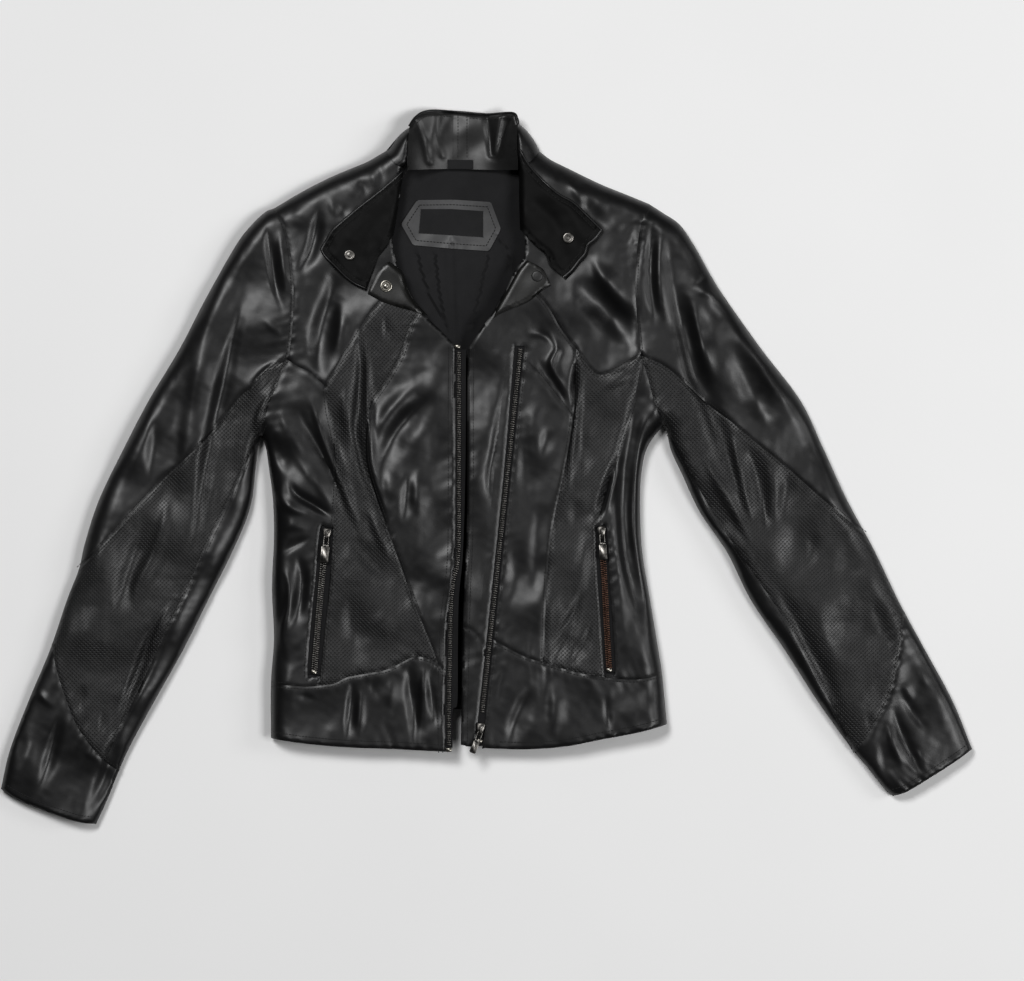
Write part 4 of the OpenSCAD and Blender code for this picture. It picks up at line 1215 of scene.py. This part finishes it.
def flap_height(x, y):
    """Top of the collar leaves folded out over the fronts."""
    z = LAY_TORSO + 5.2 + 0.9 * waves(x, y, 45, 45) + 0.3 * waves(x, y, 16, 46)
    for points, h, w in ((((-95, 270), (-118, 240), (-134, 196)), -1.6, 7),
                         (((-104, 262), (-128, 236), (-150, 214)), 1.8, 7),
                         (((52, 262), (68, 240), (76, 212)), -1.6, 7),
                         (((60, 276), (84, 254), (98, 232)), 1.8, 7)):
        z += added(x, y, spline(*points, step=6), 3 * w, bell(h, w))
    z = np.maximum(z, bed_height(x, y) + 2.6)
    edge = edge_distance(x, y, [FLAP_L_OUT, FLAP_L_LOW, FLAP_R_OUT, FLAP_R_LOW, FLAP_L_BASE,
                                FLAP_R_BASE], 8)
    z -= 1.6 * np.exp(-((edge - 3.4) / 1.3) ** 2) + 1.2 * (1 - rim(edge, 1.8))
    roll = edge_distance(x, y, [ROLL_L, ROLL_R], 8)
    return z - 9 * (1 - rim(roll, 7))


def lapel_height(x, y):
    """Top of the small turned-over corners below the collar."""
    z = LAY_TORSO + 3.4 + 0.5 * waves(x, y, 28, 47)
    z = np.maximum(z, bed_height(x, y) + 1.6)
    edge = edge_distance(x, y, [LAPEL_L_OUT, LAPEL_L_LOW, LAPEL_R_OUT, LAPEL_R_LOW], 5)
    z -= 1.0 * (1 - rim(edge, 2))
    roll = edge_distance(x, y, [LAPEL_L_ROLL, LAPEL_R_ROLL], 7)
    return z - 7 * (1 - rim(roll, 6))


def collar_pieces():
    """Back collar, its leaves with piped edges, and the lapels."""
    inner = dict(slot="leather_inside", material=INSIDE)
    a, b = (COLLAR_TOP[np.argmin(np.abs(COLLAR_TOP[:, 0] - x))] for x in (-34, -18))
    skin("collar_inner_left_leather", loop_of(
        spline((-79, 302), (-79, 320), (-77, 341)), part(COLLAR_TOP, (-77, 341), a),
        spline(a, (-34, 302)), spline((-34, 302), (-79, 302))), collar_height,
        replaces=["collar_inner"], **inner)
    skin("collar_strip_leather", loop_of(
        spline((-34, 302), a), part(COLLAR_TOP, a, b), spline(b, (-18, 302)),
        spline((-18, 302), (-34, 302))), raised(collar_height, 0.5),
        replaces=["collar_centre_strip"], **inner)
    skin("collar_inner_right_leather", loop_of(
        spline((-18, 302), b), part(COLLAR_TOP, b, (31, 343)),
        spline((31, 343), (30, 325), (31, 302)), spline((31, 302), (-18, 302))), collar_height,
        **inner)
    skin("collar_outer_left_leather", loop_of(FLANK_L, ROOT_L, FLANK_IN_L), flank_height,
         slot="leather_black", replaces=["collar_back_outer"], material=BLACK)
    skin("collar_outer_right_leather", loop_of(FLANK_R, ROOT_R, FLANK_IN_R), flank_height,
         slot="leather_black", material=BLACK)
    skin("collar_under_leather", loop_of(
        spline((-101, 317), (-90, 330), (-77, 341)), COLLAR_TOP, FLANK_R,
        spline((53, 316), (40, 311), (-24, 308), (-88, 311), (-101, 317))),
        under_collar, slot="leather_black", grid=4, material=BLACK)
    skin("collar_flap_left_leather", loop_of(FLAP_L_OUT, FLAP_L_LOW, FLAP_L_BASE, ROLL_L),
         flap_height, thick=COLLAR_LEATHER, turn=BEND_COLLAR_L, slot="leather_black",
         replaces=["collar_flap_left"], material=COLLAR)
    skin("collar_flap_right_leather", loop_of(FLAP_R_OUT, FLAP_R_LOW, FLAP_R_BASE, ROLL_R),
         flap_height, thick=COLLAR_LEATHER, turn=BEND_COLLAR_R, slot="leather_black",
         replaces=["collar_flap_right"], material=COLLAR)
    skin("lapel_left_leather", loop_of(LAPEL_L_OUT, LAPEL_L_LOW, LAPEL_L_ROLL), lapel_height,
         thick=LAPEL_LEATHER, turn=BEND_LAPEL_L, slot="leather_inside", replaces=["lapel_left"],
         material=LAPEL)
    skin("lapel_right_leather", loop_of(LAPEL_R_OUT, LAPEL_R_LOW, LAPEL_R_ROLL), lapel_height,
         thick=LAPEL_LEATHER, turn=BEND_LAPEL_R, slot="leather_inside", replaces=["lapel_right"],
         material=LAPEL)


def under_collar(x, y):
    """Height of the collar leather that lies on the floor."""
    d = edge_distance(x, y, [COLLAR_TOP, FLANK_L, FLANK_R], 12)
    return 3.0 + 6 * (1 - rim(d, 12))


def piping():
    """Rolled edges round the collar leaves and the top of the back collar."""
    left = chain(FLAP_L_OUT, FLAP_L_LOW)
    right = chain(FLAP_R_OUT, FLAP_R_LOW)
    for name, curve, height, turn in (("collar_edge_left", left, flap_height, BEND_COLLAR_L),
                                      ("collar_edge_right", right, flap_height, BEND_COLLAR_R),
                                      ("collar_edge_back", COLLAR_TOP, collar_height, None)):
        z = height(curve[:, 0], curve[:, 1]) - 0.3
        b = Builder()
        b.add(*tube(np.column_stack([curve, z]), 1.5))
        place(b.object(name), "torso", turn, (), BLACK)


# ---- stitches ---------------------------------------------------------------

def stitch_line(builder, curve, offset, height):
    """Stitches along a curve, offset mm to its left."""
    step = np.linalg.norm(np.diff(curve, axis=0), axis=1)
    run = np.concatenate([[0], np.cumsum(step)])
    at = np.arange(STITCH_PITCH / 2, run[-1], STITCH_PITCH)
    x, y = np.interp(at, run, curve[:, 0]), np.interp(at, run, curve[:, 1])
    dx = np.interp(at + 1, run, curve[:, 0]) - np.interp(at - 1, run, curve[:, 0])
    dy = np.interp(at + 1, run, curve[:, 1]) - np.interp(at - 1, run, curve[:, 1])
    n = np.maximum(np.hypot(dx, dy), 1e-6)
    dx, dy = dx / n, dy / n
    x, y = x - dy * offset, y + dx * offset
    half = STITCH_PITCH * 0.36
    z0, z1 = height(x - dx * half, y - dy * half), height(x + dx * half, y + dy * half)
    for k in range(len(x)):
        mid = np.array([x[k], y[k], (z0[k] + z1[k]) / 2 + STITCH_LIFT])
        ahead = np.array([dx[k] * half, dy[k] * half, (z1[k] - z0[k]) / 2])
        side = np.array([-dy[k], dx[k], 0]) * 0.36
        up = np.array([0, 0, 0.34])
        ring = [side, up, -side, -up]
        verts = [mid - ahead * 1.12] + [mid + sgn * ahead * 0.62 + r for sgn in (-1, 1)
                                         for r in ring] + [mid + ahead * 1.12]
        faces = [[0, 1 + (i + 1) % 4, 1 + i] for i in range(4)]
        faces += [[1 + i, 1 + (i + 1) % 4, 5 + (i + 1) % 4, 5 + i] for i in range(4)]
        faces += [[9, 5 + i, 5 + (i + 1) % 4] for i in range(4)]
        builder.add(verts, faces)


def finish_stitches(builder, name, turn):
    """Makes one piece of the rows gathered so far."""
    place(builder.object(name), "torso", turn, (), THREAD)


def all_stitches():
    """Rows of stitches beside the seams and along the edges."""
    groups = (
        ("stitches_front_left", BEND_FRONT_L, (
            (PRINCESS_L, -BESIDE), (PRINCESS_L, BESIDE), (INSERT_TOP_L, BESIDE),
            (HEM_SEAM_L, -BESIDE), (HEM_SEAM_L, BESIDE), (FRONT_L, -3), (FRONT_L, -7),
            (HEM_L, -BESIDE_HEM), (SLOT_L_RIGHT, BESIDE_SLOT), (SLOT_L_LEFT, -BESIDE_SLOT),
            (INSERT_SIDE_L, -BESIDE))),
        ("stitches_front_right", None, (
            (INSERT_TOP_R, BESIDE), (INSERT_TOP_R, -BESIDE), (INSERT_FRONT_R, -BESIDE),
            (INSERT_SIDE_R, BESIDE), (HEM_SEAM_R, -BESIDE), (HEM_SEAM_R, BESIDE), (YOKE_R, 2.2),
            (ZIP_RIGHT_EDGE, BESIDE), (SLOT_R_RIGHT, BESIDE_SLOT), (SLOT_R_LEFT, -BESIDE_SLOT),
            (part(HEM_R, (10, -279), (180, -256)), BESIDE_HEM))),
        ("stitches_flap_right", BEND_FLAP, ((FRONT_R, 2.6), (FRONT_R, 6.4))),
        ("stitches_sleeve_left", BEND_SLEEVE_L, (
            (DIAG_L, BESIDE), (DIAG_L, -BESIDE), (INNER_SEAM_L, BESIDE), (INNER_SEAM_L, -BESIDE),
            (CUFF_SEAM_L, BESIDE), (CUFF_L, BESIDE_HEM), (ARM_L, BESIDE))),
        ("stitches_sleeve_right", BEND_SLEEVE_R, (
            (DIAG_R, BESIDE), (DIAG_R, -BESIDE), (INNER_SEAM_R, BESIDE), (INNER_SEAM_R, -BESIDE),
            (CUFF_SEAM_R, -BESIDE), (CUFF_R, -BESIDE_HEM), (ARM_R, -BESIDE))))
    for name, turn, lines in groups:
        stitches(name, turn, lines, top_height)
    stitches("stitches_collar_left", BEND_COLLAR_L, ((FLAP_L_OUT, 4.4), (FLAP_L_LOW, 4.4)),
             flap_height)
    stitches("stitches_collar_right", BEND_COLLAR_R, ((FLAP_R_OUT, -4.4), (FLAP_R_LOW, -4.4)),
             flap_height)
    b = Builder()
    for x in (-29, -20):
        stitch_line(b, spline((x, 310), (x, 354)), 0, raised(collar_height, 0.5))
    stitch_line(b, COLLAR_TOP, -5, collar_height)
    finish_stitches(b, "stitches_collar_back", None)


def stitches(name, turn, lines, height):
    """One piece of stitching; each line is a curve and how far to its left the row lies."""
    b = Builder()
    for curve, offset in lines:
        stitch_line(b, curve, offset, height)
    finish_stitches(b, name, turn)


# ---- zips -------------------------------------------------------------------

def bed_height(x, y):
    """The leather's resting height without seams or fine relief."""
    loose = fold_height(x, y) + SWELL * waves(x, y, 75, 3)
    return lay_height(x, y) + loose * looseness(x, y)


def tape_height(x, y):
    """The zip tapes lie just under the leather."""
    return bed_height(x, y) - TAPE_DROP


def ribbon(curve, left, right):
    """The loop of a strip from left mm to the left of a curve to right mm to its right."""
    t = np.gradient(curve, axis=0)
    t /= np.linalg.norm(t, axis=1, keepdims=True)
    n = np.column_stack([-t[:, 1], t[:, 0]])
    return np.vstack([curve + n * left, (curve - n * right)[::-1]])


def tooth(width, depth):
    """One metal tooth: a rounded bar with a raised head at one end."""
    verts, faces = slab(rounded_outline(width, depth, depth * 0.45, 2), 0, TOOTH_HEIGHT, 0.25)
    b = Builder()
    b.add(verts, faces)
    head = rounded_outline(width * 0.34, depth * 0.8, depth * 0.3, 2) + (width * 0.3, 0)
    b.add(*slab(head, 1.3, TOOTH_HEAD, 0.2))
    return np.vstack(b.verts), b.faces


def tooth_rows(name, curve, width, turn, nodes, material, both=False):
    """Teeth along a curve, standing on the tape; both sides meshed when the zip is shut."""
    run = np.concatenate([[0], np.cumsum(np.linalg.norm(np.diff(curve, axis=0), axis=1))])
    b = Builder()
    verts, faces = tooth(width, TOOTH_PITCH * 0.62)
    for side in ((-1, 1) if both else (1,)):
        for s in np.arange(2 + (side > 0) * TOOTH_PITCH / 2, run[-1] - 1, TOOTH_PITCH):
            x, y = np.interp(s, run, curve[:, 0]), np.interp(s, run, curve[:, 1])
            x1, y1 = np.interp(s + 1, run, curve[:, 0]), np.interp(s + 1, run, curve[:, 1])
            angle = math.atan2(y1 - y, x1 - x) + side * math.pi / 2
            shift = side * 1.4 if both else 0
            z = height_at(tape_height, x, y) + 0.2
            at = (x + math.cos(angle) * -abs(shift), y + math.sin(angle) * -abs(shift), z)
            b.add(turned(verts, at, angle), faces)
    place(b.object(name), "torso", turn, nodes, material)


TEETH_L = spline((-28, 118), (-28, 0), (-28.5, -85), (-33, -110), (-35.5, -130), (-36.5, -160),
                 (-37, -190), (-38, -240), (-38, -279))
TEETH_R = spline(zip_at(121), zip_at(-246))
TAPE_EDGE_L = spline((-21, 118), (-21.5, 0), (-24, -85), (-28, -130), (-29, -180), (-29.5, -234),
                     (-34, -242), (-34.4, -279))


def zips():
    """Tapes, teeth and stops of the main zip and both pocket zips."""
    outer_edge = ribbon(TEETH_L, 0, TAPE_WIDTH)[len(TEETH_L):]
    skin("main_tape_left", loop_of(TAPE_EDGE_L, outer_edge), tape_height, thick=TAPE, grid=3,
         turn=BEND_FRONT_L, slot="zip_tape", material=TAPE_CLOTH)
    skin("main_tape_right", ribbon(spline(zip_at(124), zip_at(-277)), TAPE_WIDTH, TAPE_WIDTH), tape_height,
         thick=TAPE, grid=3, slot="zip_tape", material=TAPE_CLOTH)
    tooth_rows("main_teeth_left", TEETH_L, 4.2, BEND_FRONT_L,
               ["zip_row_left"], NICKEL)
    tooth_rows("main_teeth_right", TEETH_R, 4.2, None,
               ["zip_row_right"], NICKEL)
    for side, curve, slot, material in (("left", POCKET_L, "dark_nickel", NICKEL),
                                        ("right", POCKET_R, "copper_teeth", COPPER)):
        skin(f"pocket_tape_{side}", ribbon(curve, POCKET_TAPE_WIDTH, POCKET_TAPE_WIDTH),
             tape_height, thick=TAPE, grid=3, slot="zip_tape", material=TAPE_CLOTH)
        tooth_rows(f"pocket_teeth_{side}", curve[8:], 3.4, None,
                   [f"pocket_zip_{side}"], material, both=True)
    zip_stops("zip_stops_front_left", ((-29.5, 121, 0), (-38, -281, 0)), BEND_FRONT_L)
    zip_stops("zip_stops_torso", ((-7.5, -272, -6), (-172.6, -203.5, -6), (121.8, -201.5, 4)),
              None)


def zip_stops(name, places, turn):
    """Small metal blocks that end the rows of teeth; each place is x, y and an angle."""
    b = Builder()
    verts, faces = slab(rounded_outline(6, 4, 1, 3), 0, 2.4, 0.5)
    for x, y, angle in places:
        b.add(turned(verts, (x, y, height_at(tape_height, x, y)), math.radians(angle)), faces)
    place(b.object(name), "torso", turn, (), RING)


def slider_shape():
    """A zip slider seen from above: two shoulders, a waist, a square heel and a lug."""
    half = [(1.2, 0), (3.6, -0.6), (4.2, -2.4), (4.0, -5), (3.1, -8), (2.9, -12), (2.2, -13)]
    outline = np.array(half + [(-x, y) for x, y in half[::-1]])[::-1]
    b = Builder()
    b.add(*slab(outline, 0, 1.7, 0.5))
    b.add(*slab(outline * 0.45 + (0, -2.0), 1.5, 2.2, 0.3))
    b.add(*slab(rounded_outline(1.8, 8, 0.8, 3) + (0, -6.6), 1.5, 3.9, 0.4))
    for side in (-1, 1):
        b.add(*slab(rounded_outline(0.6, 4.0, 0.25, 3) + (side * 3.85, -3.4), -1.4, 0.3, 0.2))
    return np.vstack(b.verts), b.faces


def pull_shape(width, length):
    """A pull hung from a wire link: the link round the lug, then a framed tab."""
    b = Builder()
    wire = [(2.0, 0.2), (2.3, -3), (2.2, -7.4), (1.0, -9.2), (-1.0, -9.2), (-2.2, -7.4),
            (-2.3, -3), (-2.0, 0.2), (0, 0.6)]
    ring = spline(*wire, wire[0], step=0.8)[:-1]
    b.add(*tube(np.column_stack([ring, np.zeros(len(ring))]), 0.7, closed=True))
    centre = (0, -8.6 - length / 2)
    b.add(*slab(rounded_outline(width, length, 1.6) + centre, -0.8, 0.6, 0.35))
    frame_in = rounded_outline(width - 3, length - 3.4, 1.0) + centre
    b.add(*slab(frame_in, 0.2, 0.95, 0.3))
    b.add(*slab(rounded_outline(width * 0.8, 2.6, 1.1) + (0, -8.4), -0.9, 1.0, 0.4))
    return np.vstack(b.verts), b.faces


def fittings():
    """Sliders and pulls, placed from the plain nodes they stand for."""
    for name, tilt, turn_of_pull, wide, long in (
            ("main", -6, -16, 6.4, 13), ("pocket_left", -5.8, 0, 8.6, 17),
            ("pocket_right", 3.7, 0, 8, 16)):
        body = "main_slider" if name == "main" else name.replace("pocket", "pocket_slider")
        pull = "main_pull" if name == "main" else name.replace("pocket", "pocket_pull")
        lo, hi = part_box(body)
        a = math.radians(tilt)
        mid = ((lo + hi) / 2) / MM
        head = (mid[0] - math.sin(a) * 6.5, mid[1] + math.cos(a) * 6.5, TEETH_TOP + SLIDER_GAP)
        b = Builder()
        verts, faces = slider_shape()
        b.add(turned(verts, head, a), faces)
        place(b.object(name + "_slider_metal"), body, None, [body], NICKEL)
        pivot_back = 9.8 if name == "main" else 9.0
        pivot = (head[0] + math.sin(a) * pivot_back, head[1] - math.cos(a) * pivot_back,
                 head[2] + 3.2)
        b = Builder()
        verts, faces = pull_shape(wide, long)
        b.add(turned(verts, pivot, a + math.radians(turn_of_pull)), faces)
        place(b.object(name + "_pull_metal"), pull, None, [pull], NICKEL)


def snaps():
    """Snap fasteners on the collar leaves and lapels."""
    cap = [(5.0, 0), (5.5, 0.5), (5.4, 1.1), (4.8, 1.5), (3.6, 1.7), (3.2, 1.5), (2.0, 1.9),
           (0.6, 2.1)]
    socket = [(5.2, 0), (5.6, 0.5), (5.5, 1.2), (4.9, 1.6), (3.8, 1.5), (2.6, 1.6), (2.0, 1.4),
              (1.7, 0.5)]
    stud = [(5.4, 0), (6.0, 0.5), (5.9, 1.2), (5.3, 1.5), (4.4, 1.3), (4.1, 0.6), (2.6, 0.6),
            (2.3, 1.7), (1.7, 2.0)]
    covered = [(5.6, 0), (5.4, 0.7), (4.6, 1.0), (3.0, 1.0), (1.0, 1.2)]
    for node, body, profile, height, slot, material in (
            ("snap_cap_collar_left", "collar_left", cap, flap_height, "dark_nickel", NICKEL),
            ("snap_socket_collar_right", "collar_right", socket, flap_height, "dark_nickel",
             NICKEL),
            ("snap_stud_lapel_left", "lapel_left", stud, lapel_height, "ring_nickel", RING)):
        lo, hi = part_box(node)
        x, y = (lo[0] + hi[0]) / 2 / MM, (lo[1] + hi[1]) / 2 / MM
        place(snap(node + "_metal", profile, x, y, height), body, None, [node], material)
    place(snap("lapel_right_covered_snap", covered, 50, 191, lapel_height), "lapel_right", None,
          (), INSIDE)


def snap(name, profile, x, y, height):
    """One round fastener pressed into the sheet at x, y."""
    verts, faces = lathe(profile)
    b = Builder()
    b.add(turned(verts, (x, y, height_at(height, x, y) - 0.2), 0), faces)
    return b.object(name)


# ---- floor, light and camera ------------------------------------------------

def floor_material():
    """A smooth, pale, matt floor."""
    f = Finish("pale_floor")
    f.colour(f.ramp(f.noise(3, 2), (0.3, (0.76, 0.76, 0.76)), (0.7, (0.775, 0.775, 0.775))))
    f.roughness(f.noise(5), 0.8, 0.9)
    return f.mat


LENS = 200.0                                        # mm, so that the view is nearly parallel
SENSOR = 36.0
VIEW_WIDTH = 1.024                                  # metres seen across the picture
VIEW_CENTRE = (0.025, -0.0225)
WORLD_LIGHT = 0.05
GAMMA = 0.84                                        # deepens the blacks of the leather


def softbox(name, at, size, power):
    """A square lamp aimed at the middle of the jacket."""
    data = bpy.data.lights.new(name, "AREA")
    data.size = size
    data.energy = power
    lamp = bpy.data.objects.new(name, data)
    bpy.context.scene.collection.objects.link(lamp)
    lamp.location = at
    lamp.rotation_euler = (-lamp.location).to_track_quat("-Z", "Y").to_euler()
    return lamp


def stage():
    """A plain pale floor, three soft lamps off to the sides, and the camera straight above."""
    scene = bpy.context.scene
    bpy.ops.mesh.primitive_plane_add(size=8, location=(0, 0, -0.0005))
    floor = bpy.context.object
    floor.name = "floor"
    floor.data.materials.append(floor_material())
    lamps = [softbox("key", (-1.5, 2.0, 4.7), 1.5, 176),
             softbox("fill", (2.6, -0.6, 4.2), 1.5, 116),
             softbox("rim", (3.8, 0.6, 2.4), 1.4, 36)]
    world = bpy.data.worlds.new("studio")
    world.use_nodes = True
    background = world.node_tree.nodes["Background"]
    background.inputs["Color"].default_value = (1, 1, 1, 1)
    background.inputs["Strength"].default_value = WORLD_LIGHT
    scene.world = world
    cam = bpy.data.cameras.new("camera")
    cam.lens = LENS
    cam.sensor_width = SENSOR
    eye = bpy.data.objects.new("camera", cam)
    eye.location = (*VIEW_CENTRE, EDGE_MID * MM + VIEW_WIDTH * LENS / SENSOR)
    scene.collection.objects.link(eye)
    scene.camera = eye
    scene.view_settings.view_transform = "Standard"
    scene.view_settings.gamma = GAMMA


front_panels()
sleeve_panels()
back_pieces()
front_linings()
collar_pieces()
piping()
all_stitches()
zips()
fittings()
snaps()
stage()
